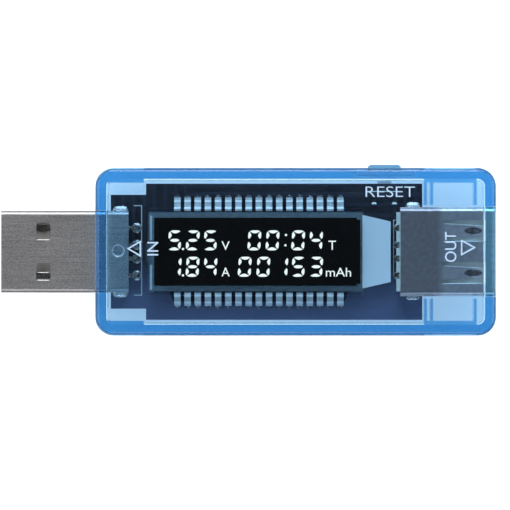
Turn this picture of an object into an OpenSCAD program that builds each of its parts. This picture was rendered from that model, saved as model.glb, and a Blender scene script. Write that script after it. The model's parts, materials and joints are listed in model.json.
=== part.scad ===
// In-line USB power meter: a translucent two-part casing with a type A plug at one end,
// a type A socket at the other, a segment display, and a reset button on one long side.
// Frame: +X from plug to socket, +Z up through the display, origin at the middle of the
// casing's flat underside. Millimetres.

/* [Casing] */
// Outer length of the casing
case_length = 58.8; // [57:0.2:72]
// Outer width of the casing
case_width = 24.6; // [23.6:0.2:32]
// Free height between the tallest thing on the board and the top plate
head_gap = 0.38; // [0.1:0.02:4]
// Thickness of the side and end walls
wall = 1.55; // [1.3:0.05:1.9]
// Thickness of the top and bottom plates
plate = 1.4; // [1:0.05:1.5]
// Plan radius of the upright corners
corner_r = 2.7; // [2.2:0.1:4]
// Radius of the outer edges round the top and bottom faces
edge_r = 0.7; // [0.3:0.05:1]
// Height of the bottom shell up to the parting plane
bottom_height = 6.3; // [5.9:0.1:7.5]
// Height of the lip that laps inside the top shell
lip_height = 1; // [0.6:0.1:1.4]
// Thickness of that lip
lip_thick = 0.65; // [0.4:0.05:0.8]
// Thickness of the inner ribs
rib = 0.6; // [0.4:0.1:1]

/* [Circuit board] */
// Thickness of the circuit board
board_thick = 1.2; // [0.8:0.1:1.6]
// Free height between the floor and the board's underside
board_standoff = 2.4; // [2:0.1:3]
// Gap between each long edge of the board and the side wall
board_side_gap = 0.7; // [0.3:0.1:1]
// Gap between the board's narrow end and the plug-end wall
board_end_gap = 0.6; // [0.3:0.1:1]
// Length of the narrow end of the board, beside the plug
notch_length = 5.2; // [4:0.1:5.4]
// Depth of the notch on each side of that narrow end
notch_depth = 1.65; // [0.8:0.05:1.8]
// How far the board reaches under the socket
socket_seat = 3.2; // [2.8:0.1:5]

/* [USB plug] */
// Width of the plug's metal shell
plug_width = 12; // [11.9:0.05:12.1]
// Height of the plug's metal shell
plug_height = 4.5; // [4.4:0.05:4.6]
// Length of the plug that stands out of the casing
plug_reach = 13.9; // [12:0.1:16]
// Whole length of the plug's metal shell
plug_length = 18.7; // [18:0.1:22]
// Thickness of the sheet metal of the plug and the socket
sheet = 0.3; // [0.25:0.05:0.35]

/* [USB socket] */
// Outer width of the socket's metal shell
socket_width = 13.1; // [13:0.05:13.3]
// Outer height of the socket's metal shell
socket_height = 5.72; // [5.6:0.02:5.9]
// Length of the socket's metal shell
socket_length = 13.9; // [13.5:0.1:15]
// Thickness of the socket's tongue
tongue_thick = 1.84; // [1.7:0.02:1.9]

/* [Display] */
// Length of the display glass
glass_length = 31.6; // [28:0.2:33]
// Width of the front glass
glass_width = 11.8; // [10:0.1:12]
// Thickness of each glass plate
glass_thick = 1.1; // [0.7:0.05:1.2]
// Width of the ledge of rear glass that the pins clip to, on each side
glass_ledge = 0.5; // [0.4:0.05:0.6]
// Thickness of the backlight panel
backlight_thick = 2.4; // [1.8:0.1:2.6]
// Length of the backlight's tapered nose, where its lamps sit
nose_length = 4.1; // [3.4:0.1:5]
// Number of pins on each side of the display
pin_count = 17; // [10:1:18]
// Spacing of those pins
pin_pitch = 1.5; // [1.2:0.1:1.6]
// Width of one pin's clip
pin_width = 0.95; // [0.6:0.05:1]

/* [Reset button] */
// Width of the button's cap
button_width = 4.9; // [3.5:0.1:6]
// Height of the button's cap
button_height = 1.9; // [1.4:0.1:2]
// How far the cap stands out of the casing
button_proud = 0.55; // [0.4:0.05:1]
// Travel of the button and the switch plunger
button_travel = 0.3; // [0.2:0.05:0.35]
// Distance from the socket's back to the middle of the button
button_behind_socket = 2.25; // [1.9:0.1:4]
// Width of the push switch
switch_width = 4.5; // [4.2:0.1:4.6]
// Depth of the push switch on the board
switch_depth = 3.4; // [3:0.1:3.6]
// Free height between the floor and the push switch, which hangs under the board
switch_floor_gap = 0.25; // [0.1:0.05:0.4]

/* [Fits] */
// Clearance round a metal connector in its opening in the casing
opening_gap = 0.12; // [0.05:0.01:0.2]
// Clearance between the casing shells' lip and rebate
lap_gap = 0.05; // [0.03:0.01:0.1]
// Glue line between the rims of the two casing shells
seam_gap = 0.03; // [0.02:0.01:0.08]
// Glue line between the layers of the display
film_gap = 0.01; // [0.01:0.01:0.02]
// Clearance round the button in its slot
slide_gap = 0.12; // [0.08:0.01:0.2]
// Clearance of a pin or leg in its hole in the board
hole_gap = 0.1; // [0.05:0.01:0.15]
// Gap between the board and the posts that it rests on
seat_gap = 0.04; // [0.02:0.01:0.1]
// Gap between the button's stem and the switch plunger
touch_gap = 0.02; // [0.01:0.01:0.05]

/* [Hidden] */

$fn = 48;
over = 1;            // how far a cut runs past the face that it opens
half_l = case_length / 2;
half_w = case_width / 2;
inner_l = half_l - wall;
inner_w = half_w - wall;
inner_fillet = 0.35 * (corner_r - wall);  // inside the casing, between plate and wall

// The circuit board and what stands on it
board_under = plate + board_standoff;
board_top = board_under + board_thick;
board_width = 2 * (inner_w - board_side_gap);
board_x0 = -inner_l + board_end_gap;
board_x1 = half_l - socket_length + socket_seat;
narrow_width = board_width - 2 * notch_depth;
tail_under = 0.6;    // how far a soldered tail stands out under the board

// The casing's height follows from what stands on the board
film = 0.15;
pad_thick = 0.25;
seal_thick = 0.08;
display_height = pad_thick + backlight_thick + 2 * glass_thick + seal_thick + 4 * film
    + 8 * film_gap;
case_height = board_top + max(socket_height, display_height) + head_gap + plate;
top_height = case_height - bottom_height - seam_gap;

// The four contacts of a type A connector, across Y
contact_ys = [-3.5, -1, 1, 3.5];
contact_width = 1;
contact_thick = 0.25;
tail_width = 0.6;

// The plug lies on the board, tongue below and contacts facing up
plug_tip = -half_l - plug_reach;
plug_rear = plug_tip + plug_length;
plug_z0 = board_top;
plug_r = 0.62;
plug_tongue_top = plug_z0 + sheet + 1.95;
plug_tail_x = plug_rear + 1.2;
plug_window = [2.1, 2.7];
plug_window_from_tip = 5.16;
plug_window_y = 3;
dimple_depth = 0.2;
dimple_r = 0.92;
dimple_y = 0.1;
plug_leg = 2;
plug_leg_x0 = plug_rear - plug_leg - 0.2;

// The socket lies on the board, tongue above and contacts facing down
socket_recess = 0.1;
socket_front = half_l - socket_recess;
socket_rear = socket_front - socket_length;
socket_z0 = board_top;
socket_r = 0.7;
socket_top = socket_z0 + socket_height;
tongue_top = socket_top - sheet - 0.66;
tongue_under = tongue_top - tongue_thick;
tongue_width = 11.1;
socket_base = 3.2;   // depth of the insulator's block at the back of the socket
socket_tail_x = socket_rear - 0.35;
socket_leg = 2.2;
socket_leg_x0 = socket_rear + 0.8;
spring_root = 6.2;   // from the socket's back to the roots of its springs
spring_length = 6;
spring_width = 2.1;
spring_window = 3.1;
spring_y = 3.1;

// The display stack, from the board upwards
glass_x0 = board_x0 + notch_length + 0.35;
glass_x1 = glass_x0 + glass_length;
glass_mid = (glass_x0 + glass_x1) / 2;
reflector_z0 = board_top + pad_thick + film_gap;
backlight_z0 = reflector_z0 + film + film_gap;
diffuser_z0 = backlight_z0 + backlight_thick + film_gap;
rear_film_z0 = diffuser_z0 + film + film_gap;
rear_glass_z0 = rear_film_z0 + film + film_gap;
seal_z0 = rear_glass_z0 + glass_thick + film_gap;
front_glass_z0 = seal_z0 + seal_thick + film_gap;
front_film_z0 = front_glass_z0 + glass_thick + film_gap;
rear_glass_width = glass_width + 2 * glass_ledge;
backlight_width = rear_glass_width - 2;
nose_x1 = min(glass_x1 + nose_length, socket_tail_x - 0.7);
nose_end_width = backlight_width - 1.9;
film_margin = 1.2;
pin_sheet = 0.2;
pin_leg_y = rear_glass_width / 2 + 1.5;
pin_leg_width = 0.5;
pin_guide_height = 1.2;

// The switch hangs under the board behind the button
button_x = socket_rear - button_behind_socket;
switch_front = board_width / 2 - 0.2;
switch_cover_sheet = 0.15;
switch_height = board_standoff - switch_floor_gap - switch_cover_sheet;
switch_z0 = board_under - switch_height;
chamber_height = switch_height - 0.6;
plunger_reach = 0.8;
plunger_tip = switch_front + plunger_reach;
plunger_z = board_under - switch_height / 2;
head_size = [2.7, 0.5, chamber_height - 0.2];
plunger_size = [2, head_size.z - 0.3];
head_back = switch_front - 0.55 - head_size.y;
button_z = plunger_z;
flange_width = 8.7;
flange_height = button_height + 0.9;
flange_thick = 0.5;
window_skin = 0.5;   // wall left outside the button's flange
flange_y1 = half_w - window_skin - 0.05;
flange_y0 = flange_y1 - flange_thick;

// ---------------------------------------------------------------- shared shapes

// Rectangle with round corners, in plan, centred
module round_rect(l, w, r) {
    square([l - 2 * r, w], center = true);
    square([l, w - 2 * r], center = true);
    for (x = [-1, 1], y = [-1, 1])
        translate([x * (l / 2 - r), y * (w / 2 - r)]) circle(r);
}

// Box from its low corner to its high corner
module span(low, high) {
    translate(low) cube(high - low);
}

// Round-cornered tube along X, from x0, centred on y = 0
module sheet_tube(x0, length, width, height, z0, r) {
    translate([x0, 0, z0 + height / 2]) rotate([90, 0, 90]) linear_extrude(length) difference() {
        round_rect(width, height, r);
        round_rect(width - 2 * sheet, height - 2 * sheet, r - sheet);
    }
}

// Carries a wall's cross-section round the casing's outline: x is the distance from the
// line through the corner centres, and y is the height
module round_the_casing() {
    for (side = [0:3]) {
        along_x = side % 2 == 1;
        reach = (along_x ? half_w : half_l) - corner_r;
        run = (along_x ? case_length : case_width) - 2 * corner_r;
        rotate([0, 0, 90 * side]) translate([reach, 0, 0]) {
            translate([0, run / 2, 0]) rotate([90, 0, 0]) linear_extrude(run) children();
            translate([0, run / 2, 0]) rotate_extrude(angle = 90) children();
        }
    }
}

// Cross-section of one shell, standing on its plate: wall, plate, round outer edge
module shell_section(height) {
    difference() {
        union() {
            square([corner_r, plate]);
            translate([corner_r - wall, 0]) square([wall, height]);
            translate([corner_r - wall - inner_fillet, plate]) difference() {
                square(inner_fillet);
                translate([0, inner_fillet]) circle(inner_fillet);
            }
        }
        translate([corner_r - edge_r, edge_r]) difference() {
            translate([0, -edge_r - over]) square([edge_r + over, edge_r + over]);
            circle(edge_r);
        }
    }
}

// ---------------------------------------------------------------- casing

// Flat middle of a plate, inside the corner centres
module plate_middle() {
    translate([-half_l + corner_r, -half_w + corner_r, 0])
        cube([case_length - 2 * corner_r, case_width - 2 * corner_r, plate]);
}

// What is cut out of both shells: the two connector openings and the button's window
module casing_openings() {
    span([-half_l - over, -plug_width / 2 - opening_gap, plug_z0 - opening_gap],
         [-inner_l + over, plug_width / 2 + opening_gap, plug_z0 + plug_height + opening_gap]);
    span([inner_l - over, -socket_width / 2 - opening_gap, socket_z0 - opening_gap],
         [half_l + over, socket_width / 2 + opening_gap, socket_top + opening_gap]);
    translate([button_x, 0, button_z]) {
        translate([-button_width / 2 - slide_gap, inner_w, -button_height / 2 - slide_gap])
            cube([button_width + 2 * slide_gap, wall + over, button_height + 2 * slide_gap]);
        translate([-flange_width / 2 - slide_gap, inner_w - inner_fillet - 0.05,
                   -flange_height / 2 - slide_gap])
            cube([flange_width + 2 * slide_gap, wall - window_skin + inner_fillet + 0.05,
                  flange_height + 2 * slide_gap]);
    }
}

// Ribs that hold the board's end and frame the corner pockets beside the socket, for one
// shell: z0 and z1 are the ribs' ends
module pocket_ribs(z0, z1) {
    pocket_x0 = board_x1 + 0.15;
    pocket_x1 = inner_l - rib - 1.1;
    socket_side = socket_width / 2 + 0.35;
    for (y = [-1, 1]) {
        for (x = [pocket_x0, pocket_x0 + 2 * rib - 0.3, pocket_x1])
            span([x, y > 0 ? socket_side : -inner_w - 0.1, z0],
                 [x + rib * 0.75, y > 0 ? inner_w + 0.1 : -socket_side, z1]);
        span([pocket_x0, y > 0 ? inner_w - rib : -inner_w - 0.1, z0],
             [pocket_x1 + rib * 0.75, y > 0 ? inner_w + 0.1 : -inner_w + rib, z1]);
    }
}

// Ribs along the corners beside the plug, which guide the board's narrow end
module notch_ribs(z0, z1) {
    for (y = [-1, 1])
        span([-inner_l - 0.1, y > 0 ? inner_w - rib : -inner_w - 0.1, z0],
             [board_x0 + notch_length - 0.25, y > 0 ? inner_w + 0.1 : -inner_w + rib, z1]);
}

// Four posts that the board rests on; the connectors in their openings hold it down
module board_posts() {
    for (x = [board_x0 + notch_length + 1.2, board_x1 - 1.3], y = [-1, 1])
        translate([x, y * (board_width / 2 - 1), plate - 0.1])
            cylinder(h = board_standoff + 0.1 - seat_gap, r = 0.8);
}

// Lower half of the casing, with the lip round its rim
module bottom_shell() {
    color([0.16, 0.5, 0.86, 0.5]) difference() {
        union() {
            plate_middle();
            round_the_casing() {
                shell_section(bottom_height);
                translate([corner_r - wall, bottom_height - over])
                    square([lip_thick, lip_height + over]);
            }
            pocket_ribs(plate - 0.1, board_top - 0.6);
            notch_ribs(plate - 0.1, bottom_height - 0.3);
            board_posts();
        }
        casing_openings();
    }
}

// Upper half of the casing, with a rebate that takes the lower half's lip
module top_shell() {
    color([0.16, 0.5, 0.86, 0.5]) difference() {
        translate([0, 0, case_height]) mirror([0, 0, 1]) union() {
            plate_middle();
            round_the_casing() difference() {
                shell_section(top_height);
                translate([corner_r - wall - over,
                           case_height - bottom_height - lip_height - lap_gap])
                    square([over + lip_thick + lap_gap, lip_height + lap_gap + over]);
            }
            pocket_ribs(plate - 0.1, case_height - bottom_height - lip_height - 0.2);
            notch_ribs(plate - 0.1, case_height - bottom_height - lip_height - 0.2);
        }
        lip_clearance();
        casing_openings();
    }
}

// Room for the lower shell's wall and lip where the upper shell's ribs pass them
module lip_clearance() {
    z0 = board_top;
    z1 = bottom_height + lip_height + lap_gap;
    difference() {
        translate([0, 0, z0]) linear_extrude(z1 - z0)
            round_rect(2 * inner_l + 2 * lip_thick, 2 * inner_w + 2 * lip_thick,
                       corner_r - wall + lip_thick);
        translate([0, 0, z0 - over]) linear_extrude(z1 - z0 + 2 * over)
            round_rect(2 * inner_l - 2 * lap_gap, 2 * inner_w - 2 * lap_gap,
                       corner_r - wall - lap_gap);
    }
}

// Push button: a cap through the casing's window, a flange behind it and a stem
module reset_button() {
    stem = [2.6, 1.1];
    face_y = half_w + button_proud;
    side_x = button_width / 2;
    bevel = 0.3;
    color([0.3, 0.62, 0.92, 0.6]) translate([button_x, 0, button_z]) {
        intersection() {
            translate([0, face_y, 0]) rotate([90, 0, 0])
                linear_extrude(face_y - flange_y1 + 0.05)
                    round_rect(button_width, button_height, 0.45);
            linear_extrude(button_height + 1, center = true)
                polygon([[-side_x, 0], [side_x, 0], [side_x, face_y - bevel],
                         [side_x - bevel, face_y], [bevel - side_x, face_y],
                         [-side_x, face_y - bevel]]);
        }
        translate([0, flange_y1, 0]) rotate([90, 0, 0])
            linear_extrude(flange_thick) round_rect(flange_width, flange_height, 0.4);
        span([-stem.x / 2, plunger_tip + touch_gap, -stem.y / 2],
             [stem.x / 2, flange_y0 + 0.05, stem.y / 2]);
    }
}

// ---------------------------------------------------------------- circuit board

module pin_holes(xs, ys, r) {
    for (x = xs, y = ys) translate([x, y, board_under - over])
        cylinder(h = board_thick + 2 * over, r = r);
}

module leg_slots(x0, length, side) {
    for (y = [-1, 1])
        span([x0 - hole_gap, y * side - (y > 0 ? sheet : 0) - hole_gap, board_under - over],
             [x0 + length + hole_gap, y * side + (y > 0 ? 0 : sheet) + hole_gap,
              board_top + over]);
}

pin_xs = [for (i = [0:pin_count - 1]) glass_mid + 0.5 + (i - (pin_count - 1) / 2) * pin_pitch];
peg_xs = [button_x - 1.5, button_x + 1.5];
peg_y = switch_front - switch_depth + 0.75;
peg_r = 0.4;

module circuit_board() {
    color([0.07, 0.09, 0.16]) difference() {
        union() {
            span([board_x0, -narrow_width / 2, board_under],
                 [board_x1, narrow_width / 2, board_top]);
            span([board_x0 + notch_length, -board_width / 2, board_under],
                 [board_x1, board_width / 2, board_top]);
        }
        pin_holes([plug_tail_x], contact_ys, tail_width / 2 + hole_gap);
        pin_holes([socket_tail_x], contact_ys, tail_width / 2 + hole_gap);
        pin_holes(pin_xs, [-pin_leg_y, pin_leg_y], pin_leg_width / 2 + hole_gap);
        pin_holes(peg_xs, [peg_y], peg_r + hole_gap);
        leg_slots(plug_leg_x0, plug_leg, plug_width / 2);
        leg_slots(socket_leg_x0, socket_leg, socket_width / 2);
    }
}

// Chip package under the board: body size, and gull-wing leads on two sides
module chip_body(at, size) {
    stand = 0.1;
    translate([at.x - size.x / 2, at.y - size.y / 2, board_under - stand - size.z]) cube(size);
}

module chip_leads(at, size, count, pitch, lead = [0.3, 0.9, 0.15]) {
    z1 = board_under - 0.1 - size.z / 2 + 0.05;
    for (i = [0:count - 1], s = [-1, 1])
        translate([at.x + (i - (count - 1) / 2) * pitch, at.y + s * size.y / 2, 0]) {
            span([-lead.x / 2, s > 0 ? 0 : -lead.y * 0.4, z1 - lead.z],
                 [lead.x / 2, s > 0 ? lead.y * 0.4 : 0, z1]);
            span([-lead.x / 2, s > 0 ? lead.y * 0.25 : -lead.y * 0.4, z1 - lead.z],
                 [lead.x / 2, s > 0 ? lead.y * 0.4 : -lead.y * 0.25, board_under]);
            span([-lead.x / 2, s > 0 ? lead.y * 0.25 : -lead.y, board_under - lead.z],
                 [lead.x / 2, s > 0 ? lead.y : -lead.y * 0.25, board_under]);
        }
}

// Two-terminal parts under the board, turned by angle
module flat_part(at, size, angle = 0) {
    translate([at.x, at.y, board_under - size.z]) rotate([0, 0, angle])
        translate([-size.x / 2, -size.y / 2, 0]) cube(size);
}

// The circuit under the board, laid out from the board's plug end and, for the two parts
// that carry the current out, from its socket end
controller_at = [board_x0 + 18.15, 0];
controller_size = [7.2, 4.4, 1.45];
memory_at = [board_x0 + 29.55, 2.2];
memory_size = [4.9, 3.9, 1.5];
regulator_at = [board_x0 + 8.6, 3.6];
regulator_size = [2.9, 1.5, 1.1];
shunt_at = [board_x1 - 7.4, -5.2];
shunt_size = [5.2, 3.2, 0.7];
shunt_cap = 0.55;

module chip_controller() {
    color([0.05, 0.05, 0.055]) chip_body(controller_at, controller_size);
}

module controller_leads() {
    color([0.75, 0.76, 0.78]) chip_leads(controller_at, controller_size, 10, 0.65);
}

module chip_memory() {
    color([0.05, 0.05, 0.055]) chip_body(memory_at, memory_size);
}

module memory_leads() {
    color([0.75, 0.76, 0.78]) chip_leads(memory_at, memory_size, 4, 1.27, [0.42, 0.95, 0.2]);
}

module chip_regulator() {
    color([0.05, 0.05, 0.055]) chip_body(regulator_at, regulator_size);
}

module regulator_leads() {
    color([0.75, 0.76, 0.78]) chip_leads(regulator_at, regulator_size, 2, 1.9, [0.4, 0.6, 0.15]);
}

module shunt_resistor() {
    color([0.08, 0.08, 0.09])
        flat_part(shunt_at, [shunt_size.x - 2 * shunt_cap, shunt_size.y, shunt_size.z]);
}

module shunt_end_caps() {
    color([0.78, 0.79, 0.8]) for (s = [-1, 1])
        flat_part([shunt_at.x + s * (shunt_size.x - shunt_cap) / 2, shunt_at.y],
                  [shunt_cap, shunt_size.y, shunt_size.z]);
}

resistor_size = [1.6, 0.8, 0.45];
resistors = [for (i = [0:4]) [controller_at.x - 4 + i * 2, 4.9, 90],
             for (i = [0:2]) [board_x0 + 7 + i * 2.2, -4.6, 90],
             for (i = [0:1]) [memory_at.x - 1.6 + i * 2.6, 6.1, 0]];
capacitor_size = [2, 1.25, 1.1];
capacitors = [[controller_at.x - 5.4, -1.2, 90], [controller_at.x + 5.4, -1.4, 90],
              [regulator_at.x + 3.6, regulator_at.y + 0.4, 90], [board_x0 + 13.4, -4.8, 0]];

module chip_resistors() {
    color([0.1, 0.1, 0.12]) for (p = resistors) flat_part(p, resistor_size, p.z);
}

module chip_capacitors() {
    color([0.66, 0.52, 0.36]) for (p = capacitors) flat_part(p, capacitor_size, p.z);
}

module diode() {
    color([0.07, 0.07, 0.08]) flat_part([board_x1 - 10.6, 0.4], [2.6, 1.6, 1.1], 90);
}

// ---------------------------------------------------------------- plug

module plug_shell() {
    color([0.62, 0.62, 0.64]) union() {
        difference() {
            sheet_tube(plug_tip, plug_length, plug_width, plug_height, plug_z0, plug_r);
            for (y = [-1, 1])
                translate([plug_tip + plug_window_from_tip + plug_window.x / 2,
                           y * plug_window_y, plug_z0 - over])
                    linear_extrude(plug_height + 2 * over)
                        round_rect(plug_window.x, plug_window.y, 0.35);
            translate([plug_rear - 1.5, dimple_y, plug_z0 + plug_height - dimple_depth])
                cylinder(h = dimple_depth + 0.01, r1 = dimple_r - 0.3, r2 = dimple_r);
        }
        for (y = [-1, 1])
            span([plug_leg_x0, y > 0 ? plug_width / 2 - sheet : -plug_width / 2,
                  board_under - tail_under],
                 [plug_leg_x0 + plug_leg, y > 0 ? plug_width / 2 : -plug_width / 2 + sheet,
                  plug_z0 + plug_r + 0.2]);
    }
}

// The flat blades and bent tails of the plug's four contacts; grow widens them as a cutter
module plug_blades() {
    for (y = contact_ys) {
        outer = abs(y) > 2;
        blade_x0 = plug_tip + (outer ? 1.3 : 2.3);
        span([blade_x0, y - contact_width / 2, plug_tongue_top - contact_thick],
             [plug_rear - 0.6, y + contact_width / 2, plug_tongue_top]);
        span([plug_rear - 0.8, y - tail_width / 2, plug_tongue_top - contact_thick],
             [plug_tail_x + contact_thick / 2, y + tail_width / 2, plug_tongue_top]);
        span([plug_tail_x - contact_thick / 2, y - tail_width / 2, board_under - tail_under],
             [plug_tail_x + contact_thick / 2, y + tail_width / 2, plug_tongue_top]);
    }
}

module plug_insulator() {
    inside_w = plug_width - 2 * sheet;
    inside_z0 = plug_z0 + sheet;
    inside_z1 = plug_z0 + plug_height - sheet;
    base_x0 = plug_rear - 5.2;
    ease = 0.35;     // keeps the square corners clear of the shell's round ones
    color([0.88, 0.88, 0.86]) difference() {
        union() {
            span([plug_tip + 0.7, -inside_w / 2 + ease, inside_z0],
                 [base_x0 + 0.1, inside_w / 2 - ease, plug_tongue_top]);
            span([base_x0, -inside_w / 2 + ease, inside_z0],
                 [plug_rear - 0.3, inside_w / 2 - ease, inside_z1]);
            span([base_x0, -inside_w / 2, inside_z0 + ease],
                 [plug_rear - 0.3, inside_w / 2, inside_z1 - ease]);
        }
        plug_blades();
    }
}

module plug_contacts() {
    color([0.85, 0.68, 0.32]) plug_blades();
}

// A cone of solder round a square tail, base on the board's underside
module solder_cone(at, tail, r0, r1) {
    difference() {
        translate([at.x, at.y, board_under - tail_under + 0.1])
            cylinder(h = tail_under - 0.1, r1 = r1, r2 = r0);
        span([at.x - tail.x / 2, at.y - tail.y / 2, board_under - over],
             [at.x + tail.x / 2, at.y + tail.y / 2, board_under + over]);
    }
}

// Solder along both faces of a flat shell leg, base on the board's underside
module leg_solder(x0, length, side) {
    for (y = [-1, 1])
        translate([x0 + length / 2, y * (side - sheet / 2), board_under - tail_under + 0.1])
            difference() {
                translate([-length / 2 - 0.3, -0.7, 0.1]) cube([length + 0.6, 1.4, 0.4]);
                translate([-length / 2, -sheet / 2, -over]) cube([length, sheet, 2 * over]);
            }
}

module plug_solder_joints() {
    color([0.8, 0.81, 0.83]) {
        for (y = contact_ys)
            solder_cone([plug_tail_x, y], [contact_thick, tail_width], 0.62, 0.42);
        leg_solder(plug_leg_x0, plug_leg, plug_width / 2);
    }
}

// ---------------------------------------------------------------- socket

// One sprung finger of the socket's shell, for the upper face: its root joins the shell
// and its tip dips into the mouth
module spring_finger() {
    dip = 0.55;
    rise = 0.15;
    intersection() {
        rotate([90, 0, 0]) linear_extrude(spring_width, center = true)
            polygon([[-0.2, 0], [0, 0], [spring_length * 0.72, -dip], [spring_length, -rise],
                     [spring_length, -rise - sheet * 0.9], [spring_length * 0.72, -dip - sheet],
                     [0, -sheet], [-0.2, -sheet]]);
        linear_extrude(4, center = true)
            polygon([[-0.3, spring_width / 2], [0, spring_width / 2],
                     [spring_length, spring_width * 0.32], [spring_length, -spring_width * 0.32],
                     [0, -spring_width / 2], [-0.3, -spring_width / 2]]);
    }
}

module socket_shell() {
    root_x = socket_rear + spring_root;
    color([0.6, 0.62, 0.64]) union() {
        difference() {
            sheet_tube(socket_rear, socket_length, socket_width, socket_height, socket_z0,
                       socket_r);
            for (y = [-1, 1])
                translate([root_x, y * spring_y - spring_window / 2, socket_z0 - over])
                    cube([spring_length + 0.5, spring_window, socket_height + 2 * over]);
        }
        for (y = [-1, 1]) {
            translate([root_x, y * spring_y, socket_top]) spring_finger();
            translate([root_x, y * spring_y, socket_z0]) mirror([0, 0, 1]) spring_finger();
            span([socket_leg_x0, y > 0 ? socket_width / 2 - sheet : -socket_width / 2,
                  board_under - tail_under],
                 [socket_leg_x0 + socket_leg,
                  y > 0 ? socket_width / 2 : -socket_width / 2 + sheet,
                  socket_z0 + socket_r + 0.2]);
        }
    }
}

// Blades on the tongue's underside and the tails that come down behind the socket
module socket_blades() {
    for (y = contact_ys) {
        span([socket_rear - 0.35 - contact_thick / 2, y - tail_width / 2, tongue_under],
             [socket_rear + socket_base, y + tail_width / 2, tongue_under + contact_thick]);
        span([socket_rear + socket_base - 0.2, y - contact_width / 2, tongue_under],
             [socket_front - 2.4, y + contact_width / 2, tongue_under + contact_thick]);
        span([socket_tail_x - contact_thick / 2, y - tail_width / 2, board_under - tail_under],
             [socket_tail_x + contact_thick / 2, y + tail_width / 2,
              tongue_under + contact_thick]);
    }
}

module socket_insulator() {
    inside_w = socket_width - 2 * sheet;
    inside_z0 = socket_z0 + sheet;
    inside_z1 = socket_top - sheet;
    ease = 0.42;     // keeps the square corners clear of the shell's round ones
    comb = 0.55;     // depth of the comb behind the shell that holds the tails apart
    color([0.9, 0.9, 0.88]) difference() {
        union() {
            difference() {
                span([socket_rear - comb, -inside_w / 2 + ease, inside_z0],
                     [socket_rear + 0.1, inside_w / 2 - ease, tongue_top]);
                for (y = contact_ys)
                    span([socket_rear - comb - over, y - tail_width / 2 - 0.15, inside_z0 - over],
                         [socket_rear - 0.1, y + tail_width / 2 + 0.15, tongue_top + over]);
            }
            span([socket_rear + 0.05, -inside_w / 2 + ease, inside_z0],
                 [socket_rear + socket_base, inside_w / 2 - ease, inside_z1]);
            span([socket_rear + 0.05, -inside_w / 2, inside_z0 + ease],
                 [socket_rear + socket_base, inside_w / 2, inside_z1 - ease]);
            span([socket_rear + 0.2, -tongue_width / 2, tongue_under],
                 [socket_front - 1.4, tongue_width / 2, tongue_top]);
        }
        socket_blades();
    }
}

module socket_contacts() {
    color([0.85, 0.68, 0.32]) socket_blades();
}

module socket_solder_joints() {
    color([0.8, 0.81, 0.83]) {
        for (y = contact_ys)
            solder_cone([socket_tail_x, y], [contact_thick, tail_width], 0.62, 0.42);
        leg_solder(socket_leg_x0, socket_leg, socket_width / 2);
    }
}

// ---------------------------------------------------------------- display

// Flat layer of the display stack, between two X positions
module layer(x0, x1, width, z0, thick) {
    span([x0, -width / 2, z0], [x1, width / 2, z0 + thick]);
}

module lcd_front_polariser() {
    color([0.04, 0.04, 0.045])
        layer(glass_x0 + 1.6, glass_x1 - 0.4, glass_width - 2 * film_margin, front_film_z0, film);
}

module lcd_front_glass() {
    color([0.3, 0.36, 0.42, 0.5])
        layer(glass_x0, glass_x1, glass_width, front_glass_z0, glass_thick);
}

// Frame of sealant between the two glass plates
module lcd_edge_seal() {
    color([0.08, 0.08, 0.09]) difference() {
        layer(glass_x0 + 0.1, glass_x1 - 0.1, glass_width - 0.2, seal_z0, seal_thick);
        layer(glass_x0 + 0.9, glass_x1 - 0.9, glass_width - 1.8, seal_z0 - over, 2 * over);
    }
}

module lcd_rear_glass() {
    color([0.3, 0.36, 0.42, 0.5])
        layer(glass_x0, glass_x1, rear_glass_width, rear_glass_z0, glass_thick);
}

module lcd_rear_polariser() {
    color([0.1, 0.1, 0.11]) layer(glass_x0 + 0.4, glass_x1 - 0.3, backlight_width - 0.4,
                                  rear_film_z0, film);
}

module backlight_diffuser() {
    color([0.93, 0.94, 0.95]) layer(glass_x0 + 0.3, glass_x1, backlight_width - 0.1,
                                    diffuser_z0, film);
}

// Outline of the light guide: a rectangle under the glass and a nose that narrows to the lamps
module backlight_outline(inset = 0) {
    half = backlight_width / 2 - inset;
    end_half = nose_end_width / 2 - inset;
    x0 = glass_x0 + 0.2 + inset;
    x1 = nose_x1 - inset;
    polygon([[x0, -half], [glass_x1, -half], [x1, -end_half], [x1, end_half],
             [glass_x1, half], [x0, half]]);
}

lamp_size = [0.9, 2.6, 1.2];
lamp_ys = [-2.4, 2.4];

module backlight_lamp(y) {
    span([nose_x1 - lamp_size.x, y - lamp_size.y / 2, backlight_z0 + 0.4],
         [nose_x1, y + lamp_size.y / 2, backlight_z0 + 0.4 + lamp_size.z]);
}

module backlight_panel() {
    color([0.85, 0.88, 0.9]) difference() {
        translate([0, 0, backlight_z0]) linear_extrude(backlight_thick) backlight_outline();
        for (y = lamp_ys) backlight_lamp(y);
    }
}

module backlight_reflector() {
    color([0.97, 0.97, 0.97]) translate([0, 0, reflector_z0])
        linear_extrude(film) backlight_outline(0.1);
}

module backlight_lamps() {
    color([0.95, 0.93, 0.8]) for (y = lamp_ys) backlight_lamp(y);
}

module display_pad() {
    color([0.12, 0.12, 0.12]) layer(glass_x0 + 1, glass_x1 + 1.5, backlight_width - 3,
                                    board_top, pad_thick);
}

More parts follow.
